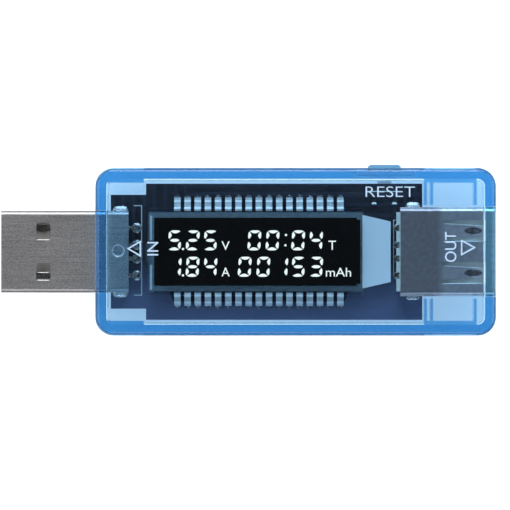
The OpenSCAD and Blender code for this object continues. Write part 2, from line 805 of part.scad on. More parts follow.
// One display pin, on the +Y side: a clip over the rear glass's ledge, a shoulder that
// steps outwards, and a leg that leans out to its hole in the board
module lcd_pin() {
    edge = rear_glass_width / 2;
    low = rear_glass_z0;
    top = low + glass_thick;
    t = pin_sheet;
    shoulder = low - 0.35;
    bend = 0.2;
    bend_y = edge + 0.95;
    foot = shoulder - 1.5;
    translate([-pin_width / 2, 0, 0]) rotate([90, 0, 90]) linear_extrude(pin_width) polygon([
        [edge - glass_ledge + 0.15, top], [edge - glass_ledge + 0.15, top + t],
        [edge - 0.1, top + t], [edge + t, top - 0.1], [edge + t, shoulder],
        [bend_y, shoulder], [bend_y + bend, shoulder - bend],
        [pin_leg_y + t / 2, foot], [pin_leg_y + t / 2, foot - 0.4],
        [pin_leg_y - t / 2, foot - 0.4], [pin_leg_y - t / 2, foot],
        [bend_y + bend - t, shoulder - bend - 0.05], [bend_y - 0.1, shoulder - t],
        [edge, shoulder - t], [edge, low - t], [edge - 0.5, low - t],
        [edge - 0.5, low], [edge, low], [edge, top]]);
    span([-pin_leg_width / 2, pin_leg_y - t / 2, board_under - tail_under],
         [pin_leg_width / 2, pin_leg_y + t / 2, foot - 0.3]);
}

module lcd_pins_upper() {
    color([0.75, 0.77, 0.8]) for (x = pin_xs) translate([x, 0, 0]) lcd_pin();
}

module lcd_pins_lower() {
    color([0.75, 0.77, 0.8]) for (x = pin_xs) translate([x, 0, 0]) mirror([0, 1, 0]) lcd_pin();
}

// Clear strips along both sides of the light guide that keep the pins in line; each is
// wider where the pins are
module pin_guides() {
    y0 = backlight_width / 2 + film_gap;
    y1 = rear_glass_width / 2 - 0.4;
    y2 = rear_glass_width / 2 + 0.95;
    pins_x0 = pin_xs[0] - 0.6;
    pins_x1 = pin_xs[pin_count - 1] + 0.6;
    color([0.1, 0.16, 0.28, 0.7]) for (side = [0, 1]) mirror([0, side, 0])
        translate([0, 0, backlight_z0]) linear_extrude(pin_guide_height) polygon([
            [glass_x0 + 0.9, y0], [glass_x1, y0], [glass_x1, y0 + 0.2], [pins_x1 + 0.5, y1],
            [pins_x1, y2], [pins_x0, y2], [pins_x0 - 0.5, y1], [glass_x0 + 0.9, y1]]);
}

// Solder round each display pin under the board, and the head that wicks up on top
module lcd_solder_joints() {
    head = 0.25;
    color([0.8, 0.81, 0.83]) for (x = pin_xs, y = [-pin_leg_y, pin_leg_y]) {
        solder_cone([x, y], [pin_leg_width, pin_sheet], 0.5, 0.34);
        difference() {
            translate([x, y, board_top]) cylinder(h = head, r1 = 0.5, r2 = 0.36);
            span([x - pin_leg_width / 2, y - pin_sheet / 2, board_top - over],
                 [x + pin_leg_width / 2, y + pin_sheet / 2, board_top + over]);
        }
    }
}

// ---------------------------------------------------------------- push switch

// Moulded body under the board, with two pegs that fill their holes in it
module switch_housing() {
    side_wall = 0.45;
    guide_gap = 0.08;
    color([0.07, 0.07, 0.075]) difference() {
        union() {
            translate([button_x - switch_width / 2, switch_front - switch_depth, switch_z0])
                cube([switch_width, switch_depth, switch_height]);
            for (x = peg_xs) translate([x, peg_y, board_under - 0.2])
                cylinder(h = board_thick + 0.2, r = peg_r);
        }
        translate([button_x - switch_width / 2 + side_wall, dome_back,
                   plunger_z - chamber_height / 2])
            cube([switch_width - 2 * side_wall, switch_front - 0.5 - dome_back, chamber_height]);
        translate([button_x - plunger_size.x / 2 - guide_gap, switch_front - over,
                   plunger_z - plunger_size.y / 2 - guide_gap])
            cube([plunger_size.x + 2 * guide_gap, 2 * over, plunger_size.y + 2 * guide_gap]);
    }
}

// Pressed steel cover under the housing and up its back
module switch_cover() {
    back = switch_front - switch_depth;
    color([0.66, 0.67, 0.69]) union() {
        span([button_x - switch_width / 2, back - switch_cover_sheet,
              switch_z0 - switch_cover_sheet],
             [button_x + switch_width / 2, switch_front, switch_z0]);
        span([button_x - switch_width / 2, back - switch_cover_sheet,
              switch_z0 - switch_cover_sheet],
             [button_x + switch_width / 2, back, board_under - 0.6]);
    }
}

module switch_plunger() {
    color([0.15, 0.15, 0.16]) {
        span([button_x - plunger_size.x / 2, head_back + 0.1, plunger_z - plunger_size.y / 2],
             [button_x + plunger_size.x / 2, plunger_tip, plunger_z + plunger_size.y / 2]);
        span([button_x - head_size.x / 2, head_back, plunger_z - head_size.z / 2],
             [button_x + head_size.x / 2, head_back + head_size.y, plunger_z + head_size.z / 2]);
    }
}

// Snap dome behind the plunger: a bowed strip of spring steel whose ends rest on the
// housing's back wall, drawn as the plunger's full travel leaves it
dome_rise = 0.35;
dome_sheet = 0.08;
dome_span = 3.1;
dome_height = head_size.z - 0.1;
dome_r = (dome_span * dome_span / 4 + dome_rise * dome_rise) / (2 * dome_rise);
dome_front = head_back - button_travel - 0.03;
dome_back = dome_front - dome_rise;

module switch_dome() {
    color([0.8, 0.8, 0.82]) intersection() {
        translate([button_x, dome_front - dome_r, plunger_z - dome_height / 2]) difference() {
            cylinder(h = dome_height, r = dome_r);
            translate([0, 0, -over]) cylinder(h = dome_height + 2 * over, r = dome_r - dome_sheet);
        }
        span([button_x - dome_span / 2, dome_back, plunger_z - dome_height],
             [button_x + dome_span / 2, switch_front, plunger_z + dome_height]);
    }
}

// Flat terminals beside the housing, soldered under the board
module switch_terminals() {
    foot = [0.7, 0.8, 0.15];
    rise = 0.8;
    color([0.78, 0.79, 0.8]) for (s = [-1, 1])
        translate([button_x + s * switch_width / 2, switch_front - 1.4, board_under]) {
            span([s > 0 ? 0 : -foot.x, 0, -foot.z], [s > 0 ? foot.x : 0, foot.y, 0]);
            span([s > 0 ? 0 : -foot.z, 0, -rise], [s > 0 ? foot.z : 0, foot.y, 0]);
        }
}

// ---------------------------------------------------------------- drawing

top_shell();
bottom_shell();
reset_button();
circuit_board();
chip_controller();
controller_leads();
chip_memory();
memory_leads();
chip_regulator();
regulator_leads();
shunt_resistor();
shunt_end_caps();
chip_resistors();
chip_capacitors();
diode();
plug_shell();
plug_insulator();
plug_contacts();
plug_solder_joints();
socket_shell();
socket_insulator();
socket_contacts();
socket_solder_joints();
lcd_front_polariser();
lcd_front_glass();
lcd_edge_seal();
lcd_rear_glass();
lcd_rear_polariser();
backlight_diffuser();
backlight_panel();
backlight_reflector();
backlight_lamps();
display_pad();
pin_guides();
lcd_pins_upper();
lcd_pins_lower();
lcd_solder_joints();
switch_housing();
switch_cover();
switch_plunger();
switch_dome();
switch_terminals();
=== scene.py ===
# %% [markdown]
# # An in-line USB power meter
# The meter goes between a charger and a device: a plug at one end, a socket at the other, and
# a small lit display between them, all in a clear blue case. Nothing hides in such a case, so
# the board, the pins, the solder and the sheet metal all need a finish of their own.
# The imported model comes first. It is a fixed frame: its pieces stay where they are and only
# get materials, and every new piece takes its place from them.

# %% Load the fixed frame
import json
import math

import bpy
import numpy as np
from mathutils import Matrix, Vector


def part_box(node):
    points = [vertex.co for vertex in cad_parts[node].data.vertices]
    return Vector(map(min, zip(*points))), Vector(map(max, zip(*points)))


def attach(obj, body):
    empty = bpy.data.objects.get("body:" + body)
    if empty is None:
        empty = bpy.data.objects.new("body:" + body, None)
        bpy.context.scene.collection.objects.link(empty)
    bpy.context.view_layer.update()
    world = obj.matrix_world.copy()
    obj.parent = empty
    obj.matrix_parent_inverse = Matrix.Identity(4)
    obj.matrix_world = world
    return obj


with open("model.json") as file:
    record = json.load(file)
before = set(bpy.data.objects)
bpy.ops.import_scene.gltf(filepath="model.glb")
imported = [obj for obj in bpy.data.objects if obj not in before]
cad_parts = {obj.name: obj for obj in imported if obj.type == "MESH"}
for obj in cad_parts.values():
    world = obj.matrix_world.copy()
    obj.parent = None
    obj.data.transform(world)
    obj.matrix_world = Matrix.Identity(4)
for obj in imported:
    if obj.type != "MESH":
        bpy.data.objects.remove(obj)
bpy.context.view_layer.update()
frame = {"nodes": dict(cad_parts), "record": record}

nodes = frame["nodes"]
MM = 0.001

# %% [markdown]
# ## Where things are
# A measure is worth taking once. Each value below is read from a piece's box in the frame, so
# the lettering stays on the case and the segments stay on the glass if the design changes.

# %% Take the heights and edges that later pieces use
case_low, case_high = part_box("top_shell")
film_low, film_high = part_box("lcd_front_polariser")
plug_low, plug_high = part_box("plug_shell")
socket_low, socket_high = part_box("socket_shell")
switch_low, switch_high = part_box("switch_housing")
button_low, button_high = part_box("reset_button")
button_x = (button_low.x + button_high.x) / 2
plug_back, socket_back = plug_high.x, socket_low.x
cover_z = case_high.z
film_z = film_high.z
board_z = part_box("circuit_board")[1].z
print("case", [round(v / MM, 2) for v in case_high - case_low], "mm")

# %% [markdown]
# ## Camera
# The meter is looked at from straight above. A long lens far away keeps the sides of the case
# from spreading; a short lens would show the long walls' outer faces and bend the outline. The
# view is 75 mm wide at the height of the plug's top face.

# %% Aim the camera straight down
view_width = 75.0 * MM
view_centre = Vector((-5.97 * MM, -0.48 * MM, plug_high.z))
camera_data = bpy.data.cameras.new("camera")
camera_data.lens = 600
camera_data.sensor_width = 36
camera_height = view_width * camera_data.lens / camera_data.sensor_width
camera_data.clip_start = 0.05
camera_data.clip_end = 20
camera = bpy.data.objects.new("camera", camera_data)
bpy.context.collection.objects.link(camera)
camera.location = view_centre + Vector((0, 0, camera_height))
bpy.context.scene.camera = camera
print("camera", round(camera_height, 3), "m above the plug")

# %% [markdown]
# ## Mesh helpers
# New pieces are surfaces computed as whole arrays. A grid of points with its quads covers
# almost everything: a sheet, a tube, a ring or a turned shape. Building from operators would
# also work, but a formula says what the shape is and gives it again exactly.

# %% Quads of a grid, and faces that point outwards
def quads(rows, cols, wrap_rows=False, wrap_cols=False):
    """Point numbers of the quads of a rows x cols grid. A wrapped side joins last to first."""
    i = np.arange(rows if wrap_rows else rows - 1)
    j = np.arange(cols if wrap_cols else cols - 1)
    i, j = np.meshgrid(i, j, indexing="ij")
    i2, j2 = (i + 1) % rows, (j + 1) % cols
    return np.stack([i * cols + j, i * cols + j2, i2 * cols + j2, i2 * cols + j], -1).reshape(-1, 4)


def outward(shape):
    """The shape with its faces turned outwards: a closed shape's signed volume is then positive.

    The volume is the sum over triangles of a . (b x c) / 6; a negative sum means that the
    faces look inwards, and reading each face backwards turns it.
    """
    points, faces = shape
    fans = [points[faces[:, [0, k, k + 1]]] for k in range(1, faces.shape[1] - 1)]
    volume = sum((t[:, 0] * np.cross(t[:, 1], t[:, 2])).sum() for t in fans)
    return (points, faces[:, ::-1]) if volume < 0 else shape


def join(shapes):
    """One (points, faces) pair from many: each shape's point numbers move past the last one's."""
    shapes = [outward(shape) for shape in shapes]
    counts = np.cumsum([0] + [len(p) for p, f in shapes])
    faces = [f + start for (p, f), start in zip(shapes, counts)]
    return np.concatenate([p for p, f in shapes]), np.concatenate(faces)


print("a grid of 3 x 4 points has", len(quads(3, 4)), "quads")

# %% Turn arrays into a mesh piece
def piece(name, shape, material, body="housing", smooth=True):
    """A mesh object from (points, faces), riding on a body and taking its finish from a slot."""
    points, faces = outward(shape)
    mesh = bpy.data.meshes.new(name)
    mesh.vertices.add(len(points))
    mesh.vertices.foreach_set("co", np.asarray(points, np.float32).ravel())
    mesh.loops.add(faces.size)
    mesh.loops.foreach_set("vertex_index", faces.astype(np.int32).ravel())
    mesh.polygons.add(len(faces))
    starts = np.arange(len(faces), dtype=np.int32) * faces.shape[1]
    mesh.polygons.foreach_set("loop_start", starts)
    mesh.update(calc_edges=True)
    mesh.polygons.foreach_set("use_smooth", np.full(len(faces), smooth))
    mesh.validate()
    mesh.materials.append(material)
    made = bpy.data.objects.new(name, mesh)
    bpy.context.collection.objects.link(made)
    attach(made, body)
    print(f"{name}: {len(points)} points, {len(faces)} faces")


print("piece helper ready")

# %% [markdown]
# ## Shapes that many pieces share
# A printed line, a lit segment and a dot are all a flat outline with a little thickness. A
# solder fillet is a profile turned round its pin. Both are written once as functions.

# %% Flat shapes
def slab(outline, z0, z1):
    """A thin closed plate from an outline that can be seen whole from its centre.

    Its points are the outline at z0, the outline at z1, and the centre at both heights. Each
    edge of the outline gives two side triangles, and one in each face's fan.
    """
    n = len(outline)
    centre = outline.mean(0)
    points = np.vstack([np.column_stack([outline, np.full(n, z0)]),
                        np.column_stack([outline, np.full(n, z1)]),
                        [[*centre, z0], [*centre, z1]]])
    i = np.arange(n)
    j = (i + 1) % n
    low, high = np.full(n, 2 * n), np.full(n, 2 * n + 1)
    faces = np.concatenate([np.stack([i, j, j + n], -1), np.stack([i, j + n, i + n], -1),
                            np.stack([j, i, low], -1), np.stack([i + n, j + n, high], -1)])
    return points, faces


def band(outer, inner, z0, z1):
    """A closed flat frame between two outlines of as many points: a tube of square section."""
    rings = [(inner, z0), (outer, z0), (outer, z1), (inner, z1)]
    points = np.concatenate([np.column_stack([r, np.full(len(r), z)]) for r, z in rings])
    return points, quads(4, len(outer), wrap_rows=True, wrap_cols=True)


def circle(x, y, r, n=24):
    """Points of a circle: the centre plus r times the cosine and sine of evenly spaced angles."""
    a = np.linspace(0, 2 * math.pi, n, endpoint=False)
    return np.column_stack([x + r * np.cos(a), y + r * np.sin(a)])


print("a disc from a circle of 24 points has", len(slab(circle(0, 0, MM), 0, MM)[1]), "triangles")

# %% A profile turned round an upright line
def turned(profile, x, y):
    """A closed profile of (radius, height) pairs turned round the upright line at (x, y)."""
    profile = np.asarray(profile, float)
    n = 24
    a = np.linspace(0, 2 * math.pi, n, endpoint=False)
    r = profile[:, :1]
    z = np.repeat(profile[:, 1:], n, axis=1)
    points = np.stack([x + r * np.cos(a), y + r * np.sin(a), z], -1).reshape(-1, 3)
    return points, quads(len(profile), n, wrap_rows=True, wrap_cols=True)


square = [(1, 0), (2, 0), (2, 1), (1, 1)]
print("a square turned round a line has", len(turned(square, 0, 0)[1]), "quads")

# %% A flat line along a path
def stroke(path, width, z0, z1):
    """A flat line of even width along a path: each point moves half the width to either side.

    The side direction at a point is the mean of its two neighbours' directions turned a
    quarter, lengthened at a corner so that the width holds there.
    """
    path = np.asarray(path, float)
    step = np.diff(path, axis=0)
    step /= np.linalg.norm(step, axis=1, keepdims=True)
    before = np.vstack([step[:1], step])
    after = np.vstack([step, step[-1:]])
    mean = before + after
    mean /= np.linalg.norm(mean, axis=1, keepdims=True)
    cosine = (mean * after).sum(1, keepdims=True)
    side = np.column_stack([-mean[:, 1], mean[:, 0]]) * (width / 2) / cosine
    left, right = path + side, path - side
    lines = [(left, z0), (right, z0), (right, z1), (left, z1)]
    stack = np.stack([np.column_stack([l, np.full(len(l), z)]) for l, z in lines], axis=1)
    ends = np.stack([stack[0].mean(0)[None].repeat(4, 0), stack[-1].mean(0)[None].repeat(4, 0)])
    stack = np.concatenate([ends[:1], stack, ends[1:]])
    return stack.reshape(-1, 3), quads(len(stack), 4, wrap_cols=True)


print("a line between two points has", len(stroke([(0, 0), (1, 0)], 0.1, 0, 0.1)[1]), "quads")

# %% [markdown]
# ## Material helpers
# Blender can add a node with one line, but a material of fifteen nodes is hard to read that
# way. Three small functions do the routine work: start a material, add a node with its inputs
# filled in, and start a node group with named sockets.

# %% Start materials and groups
def add(tree, kind, inputs=None, **settings):
    """A node of this kind in the tree. Inputs are values, or sockets of other nodes to link."""
    node = tree.nodes.new("ShaderNode" + kind)
    for name, value in settings.items():
        setattr(node, name, value)
    for name, value in (inputs or {}).items():
        if isinstance(value, bpy.types.NodeSocket):
            tree.links.new(value, node.inputs[name])
        else:
            node.inputs[name].default_value = value
    return node


def new_material(name):
    """An empty material and its tree with an output node."""
    material = bpy.data.materials.new(name)
    material.use_nodes = True
    tree = material.node_tree
    tree.nodes.clear()
    return material, tree, tree.nodes.new("ShaderNodeOutputMaterial")


def new_group(name, inputs, outputs):
    """A node group with float inputs {name: default} and outputs {name: socket type}."""
    tree = bpy.data.node_groups.new(name, "ShaderNodeTree")
    for label, value in inputs.items():
        socket = tree.interface.new_socket(label, in_out="INPUT", socket_type="NodeSocketFloat")
        socket.default_value = value
    for label, kind in outputs.items():
        tree.interface.new_socket(label, in_out="OUTPUT", socket_type="NodeSocket" + kind)
    return tree, tree.nodes.new("NodeGroupInput"), tree.nodes.new("NodeGroupOutput")


def place(tree, group, **values):
    """The group as a node in a material, with this material's own values."""
    node = tree.nodes.new("ShaderNodeGroup")
    node.node_tree = group
    for label, value in values.items():
        node.inputs[label].default_value = value
    return node


print("material helpers ready")

# %% [markdown]
# ## Effects that many finishes share
# Four effects come back again and again: a soft mottle in moulded and painted surfaces, the
# fine lines that rolling leaves in sheet metal, hairline scratches from handling, and edges
# that are worn a little brighter. Each is a group, so a finish only sets its strength and size.

# %% Mottle: two sizes of cloudy noise
mottle, g_in, g_out = new_group(
    "mottle", {"Scale": 500.0, "Detail": 3.0}, {"Mask": "Float"})
place_in = add(mottle, "TexCoord")
large = add(mottle, "TexNoise", {"Vector": place_in.outputs["Object"],
                                 "Scale": g_in.outputs["Scale"], "Detail": g_in.outputs["Detail"]})
four_times = add(mottle, "Math", {0: g_in.outputs["Scale"], 1: 4.3}, operation="MULTIPLY")
small = add(mottle, "TexNoise", {"Vector": place_in.outputs["Object"],
                                 "Scale": four_times.outputs[0], "Detail": 2.0})
both = add(mottle, "Math", {0: small.outputs[0], 1: 0.35, 2: large.outputs[0]},
           operation="MULTIPLY_ADD")
spread = add(mottle, "MapRange", {"Value": both.outputs[0], "From Min": 0.45, "From Max": 0.9})
mottle.links.new(spread.outputs[0], g_out.inputs["Mask"])
print("group", mottle.name)

# %% Rolled lines: noise stretched a hundredfold along the sheet
rolled, g_in, g_out = new_group(
    "rolled_lines", {"Scale": 9000.0, "Stretch": 0.03}, {"Mask": "Float"})
place_in = add(rolled, "TexCoord")
squash = add(rolled, "CombineXYZ", {"X": g_in.outputs["Stretch"], "Y": 1.0, "Z": 1.0})
along = add(rolled, "VectorMath", {0: place_in.outputs["Object"], 1: squash.outputs[0]},
            operation="MULTIPLY")
lines = add(rolled, "TexNoise", {"Vector": along.outputs[0], "Scale": g_in.outputs["Scale"],
                                 "Detail": 4.0, "Roughness": 0.65})
spread = add(rolled, "MapRange", {"Value": lines.outputs[0], "From Min": 0.3, "From Max": 0.7})
rolled.links.new(spread.outputs[0], g_out.inputs["Mask"])
print("group", rolled.name)

# %% Scratches: the thin ridges where stretched noise crosses its middle value
scratches, g_in, g_out = new_group(
    "hairline_scratches", {"Scale": 260.0, "Width": 0.012, "Turn": 0.5}, {"Mask": "Float"})
place_in = add(scratches, "TexCoord")
turn = add(scratches, "VectorRotate", {"Vector": place_in.outputs["Object"],
                                       "Angle": g_in.outputs["Turn"]}, rotation_type="Z_AXIS")
thin = add(scratches, "Mapping", {"Vector": turn.outputs[0], "Scale": (0.06, 1.0, 1.0)})
wave = add(scratches, "TexNoise", {"Vector": thin.outputs[0], "Scale": g_in.outputs["Scale"],
                                   "Detail": 2.0})
away = add(scratches, "Math", {0: wave.outputs[0], 1: 0.5}, operation="SUBTRACT")
size = add(scratches, "Math", {0: away.outputs[0]}, operation="ABSOLUTE")
line = add(scratches, "MapRange", {"Value": size.outputs[0], "From Min": 0.0,
                                   "From Max": g_in.outputs["Width"], "To Min": 1.0, "To Max": 0.0})
patch = add(scratches, "TexNoise", {"Vector": place_in.outputs["Object"], "Scale": 130.0})
some = add(scratches, "MapRange", {"Value": patch.outputs[0], "From Min": 0.52, "From Max": 0.66})
kept = add(scratches, "Math", {0: line.outputs[0], 1: some.outputs[0]}, operation="MULTIPLY")
scratches.links.new(kept.outputs[0], g_out.inputs["Mask"])
print("group", scratches.name)

# %% Worn edges: where a rounded normal leaves the true one
worn, g_in, g_out = new_group(
    "worn_edges", {"Radius": 0.00012, "Sharpness": 3.0}, {"Mask": "Float"})
geometry = add(worn, "NewGeometry")
rounded = add(worn, "Bevel", {"Radius": g_in.outputs["Radius"]}, samples=4)
match = add(worn, "VectorMath", {0: geometry.outputs["Normal"], 1: rounded.outputs[0]},
            operation="DOT_PRODUCT")
lost = add(worn, "Math", {0: 1.0, 1: match.outputs["Value"]}, operation="SUBTRACT")
grown = add(worn, "Math", {0: lost.outputs[0], 1: g_in.outputs["Sharpness"]}, operation="MULTIPLY")
capped = add(worn, "Clamp", {"Value": grown.outputs[0]})
worn.links.new(capped.outputs[0], g_out.inputs["Mask"])
print("group", worn.name)

# %% [markdown]
# ## A general opaque finish
# Most small parts differ only in colour, gloss, and how much mottle, grain or wear they show.
# One function lays that out: two colours mixed by the mottle, roughness that follows it, a
# fine bump, and brighter edges. Each part still gets its own values and its own scale.

# %% A painted reflection along X
def with_painted_reflection(tree, colour, painted_reflection):
    """The colour multiplied by a tint that changes with x: a painted reflection.

    The list of (x, tint) is blended evenly between one entry and the next.
    """
    where = add(tree, "TexCoord")
    apart = add(tree, "SeparateXYZ", {0: where.outputs["Object"]})
    first, last = painted_reflection[0][0], painted_reflection[-1][0]
    along = add(tree, "MapRange", {"Value": apart.outputs["X"], "From Min": first,
                                   "From Max": last})
    ramp = add(tree, "ValToRGB", {"Fac": along.outputs[0]})
    stops = ramp.color_ramp.elements
    while len(stops) < len(painted_reflection):
        stops.new(0.5)
    for stop, (x, tint) in zip(stops, painted_reflection):
        stop.position = (x - first) / (last - first)
        stop.color = (*tint, 1)
    tinted = add(tree, "Mix", {0: 1.0, 6: colour, 7: ramp.outputs[0]}, data_type="RGBA",
                 blend_type="MULTIPLY")
    return tinted.outputs[2]


print("cast helper ready")

# %% One function for moulded, fired and plated parts
EDGE_RADIUS = 0.05 * MM
RELIEF_DEPTH = 0.02 * MM
LINES_SHARE, SUM_SHARE = 0.6, 0.62


def finish(name, colour, second, roughness, metallic=0.0, scale=900.0, bump=0.15,
           edge=None, grain=None, coat=0.0, painted_reflection=None):
    """A Principled finish with mottled colour and roughness, optional grain, edges and a painted
    reflection along X.

    With grain, the mask is the mottle plus a share of the rolled lines, scaled back to at
    most 1.
    """
    material, tree, out = new_material(name)
    cloud = place(tree, mottle, Scale=scale)
    mask = cloud.outputs["Mask"]
    if grain:
        lines = place(tree, rolled, Scale=grain)
        summed = add(tree, "Math", {0: lines.outputs["Mask"], 1: LINES_SHARE, 2: mask},
                     operation="MULTIPLY_ADD")
        scaled = add(tree, "Math", {0: summed.outputs[0], 1: SUM_SHARE}, operation="MULTIPLY")
        mask = scaled.outputs[0]
    paint = add(tree, "Mix", {0: mask, 6: (*colour, 1), 7: (*second, 1)}, data_type="RGBA")
    base = paint.outputs[2]
    # painted reflection: the colour tinted along X for the blue plastic that the metal mirrors
    if painted_reflection:
        base = with_painted_reflection(tree, base, painted_reflection)
    if edge:
        rub = place(tree, worn, Radius=EDGE_RADIUS)
        rubbed = add(tree, "Mix", {0: rub.outputs["Mask"], 6: base, 7: (*edge, 1)},
                     data_type="RGBA")
        base = rubbed.outputs[2]
    rough = add(tree, "MapRange", {"Value": mask, "To Min": roughness[0], "To Max": roughness[1]})
    relief = add(tree, "Bump", {"Height": mask, "Strength": bump, "Distance": RELIEF_DEPTH})
    shader = add(tree, "BsdfPrincipled", {
        "Base Color": base, "Roughness": rough.outputs[0], "Metallic": metallic,
        "Normal": relief.outputs[0], "Coat Weight": coat, "Coat Roughness": 0.1})
    tree.links.new(shader.outputs[0], out.inputs["Surface"])
    return material


print("general finish ready, with edges", EDGE_RADIUS / MM, "mm wide")

# %% [markdown]
# ## Clear blue plastic
# The case is tinted all the way through, so its colour depends on how much plastic the light
# crosses: pale through the flat plates, deep blue down the height of a wall. Painting that on
# the surface would look wrong from the side. A clear shader with an absorbing volume does it as
# the plastic does. Lamps can't find their way through refracting walls within a few samples,
# so shadow rays and diffuse rays pass straight through. That keeps the inside as bright as it
# really is, and counts each lamp once.

# %% Let lamp light and soft light pass a clear wall
def let_light_pass(tree, seen, passing):
    """The seen shader for camera and mirror rays, the passing one for shadow and diffuse rays."""
    ray = add(tree, "LightPath")
    straight = add(tree, "MixShader", {0: ray.outputs["Is Diffuse Ray"], 1: seen.outputs[0],
                                       2: passing.outputs[0]})
    return add(tree, "MixShader", {0: ray.outputs["Is Shadow Ray"], 1: straight.outputs[0],
                                   2: passing.outputs[0]})


print("light may pass")

# %% Tinted plastic for the case and the button
SCRATCH_HAZE = 0.12
THROUGH = (0.02, 0.6, 0.858)


def tinted_plastic(name, density, surface, roughness, mottle_scale, outside=None):
    """Refracting plastic that swallows red first, then green, over a fixed depth.

    With outside = (y, tint), the surface beyond that y has the tint instead.
    """
    material, tree, out = new_material(name)
    cloud = place(tree, mottle, Scale=mottle_scale)
    marks = place(tree, scratches, Scale=900.0, Width=0.01)
    haze = add(tree, "MapRange", {"Value": cloud.outputs["Mask"], "To Min": roughness[0],
                                  "To Max": roughness[1]})
    hazier = add(tree, "Math", {0: marks.outputs["Mask"], 1: SCRATCH_HAZE, 2: haze.outputs[0]},
                 operation="MULTIPLY_ADD")
    relief = add(tree, "Bump", {"Height": marks.outputs["Mask"], "Strength": 0.04,
                                "Distance": 0.004 * MM})
    clear = add(tree, "BsdfPrincipled", {
        "Base Color": (*surface, 1), "Roughness": hazier.outputs[0], "IOR": 1.49,
        "Transmission Weight": 1.0, "Normal": relief.outputs[0]})
    if outside:
        where = add(tree, "TexCoord")
        apart = add(tree, "SeparateXYZ", {0: where.outputs["Object"]})
        beyond = add(tree, "MapRange", {"Value": apart.outputs["Y"], "From Min": outside[0],
                                        "From Max": outside[0] + 0.1 * MM})
        tint = add(tree, "Mix", {0: beyond.outputs[0], 6: (*surface, 1), 7: (*outside[1], 1)},
                   data_type="RGBA")
        tree.links.new(tint.outputs[2], clear.inputs["Base Color"])
    passing = add(tree, "BsdfTransparent", {"Color": (0.93, 0.965, 0.99, 1)})
    either = let_light_pass(tree, clear, passing)
    depth = add(tree, "VolumeAbsorption", {"Color": (*THROUGH, 1), "Density": density})
    tree.links.new(either.outputs[0], out.inputs["Surface"])
    tree.links.new(depth.outputs[0], out.inputs["Volume"])
    return material


case_plastic = tinted_plastic("case_plastic", 225.0, (0.86, 0.89, 0.95), (0.0, 0.02), 300.0)
button_plastic = tinted_plastic("button_plastic", 40.0, (0.97, 0.98, 1.0), (0.02, 0.08), 700.0,
                                outside=(-case_low.y - 0.1 * MM, (0.13, 0.3, 0.47)))
print("tinted plastics ready")

# %% [markdown]
# ## Glass of the display
# The glass is thin and lies flat over a black film. It needs only its gloss and a pale edge
# where it was scribed and broken, so a plain clear shader without a volume is enough.

# %% Display glass
def display_glass_finish():
    """Clear glass whose ground edges scatter a little."""
    material, tree, out = new_material("display_glass_clear")
    rub = place(tree, worn, Radius=0.08 * MM)
    haze = add(tree, "MapRange", {"Value": rub.outputs["Mask"], "To Min": 0.0, "To Max": 0.35})
    clear = add(tree, "BsdfPrincipled", {
        "Base Color": (0.96, 0.99, 0.98, 1), "Roughness": haze.outputs[0], "IOR": 1.5,
        "Transmission Weight": 1.0})
    passing = add(tree, "BsdfTransparent", {"Color": (0.95, 0.97, 0.97, 1)})
    either = let_light_pass(tree, clear, passing)
    tree.links.new(either.outputs[0], out.inputs["Surface"])
    return material


glass = display_glass_finish()
print("glass ready")

# %% [markdown]
# ## Circuit board
# Under a board's lacquer lies etched copper in narrow tracks. They stand a few hundredths of a
# millimetre high and show as a paler tone. They could be geometry, but a step that small is closer
# to a pattern. Each track direction is a comb of lines, kept only where a stretched cloud lets it
# through. Towards -Y the lacquer is also painted lighter and bluer: a painted reflection.

# %% Copper tracks under the lacquer
tracks, g_in, g_out = new_group(
    "copper_tracks", {"Pitch": 1300.0, "Run": 110.0}, {"Mask": "Float"})
place_in = add(tracks, "TexCoord")
apart = add(tracks, "SeparateXYZ", {0: place_in.outputs["Object"]})
combs = []
for across, stretch in (("Y", (0.25, 1.0, 1.0)), ("X", (1.0, 0.25, 1.0))):
    phase = add(tracks, "Math", {0: apart.outputs[across], 1: g_in.outputs["Pitch"]},
                operation="MULTIPLY")
    saw = add(tracks, "Math", {0: phase.outputs[0], 1: 1.0}, operation="PINGPONG")
    line = add(tracks, "MapRange", {"Value": saw.outputs[0], "From Min": 0.62, "From Max": 0.7})
    long = add(tracks, "Mapping", {"Vector": place_in.outputs["Object"], "Scale": stretch})
    cloud = add(tracks, "TexNoise", {"Vector": long.outputs[0], "Scale": g_in.outputs["Run"],
                                     "Detail": 1.0})
    gate = add(tracks, "MapRange", {"Value": cloud.outputs[0], "From Min": 0.55,
                                    "From Max": 0.56})
    combs.append(add(tracks, "Math", {0: line.outputs[0], 1: gate.outputs[0]},
                     operation="MULTIPLY"))
both = add(tracks, "Math", {0: combs[0].outputs[0], 1: combs[1].outputs[0]}, operation="MAXIMUM")
tracks.links.new(both.outputs[0], g_out.inputs["Mask"])
print("group", tracks.name)


# %% Board lacquer
# where the painted reflection on the board begins, and where it is full
PAINTED_SHEEN_START_Y, PAINTED_SHEEN_FULL_Y = -1.0 * MM, -5.0 * MM


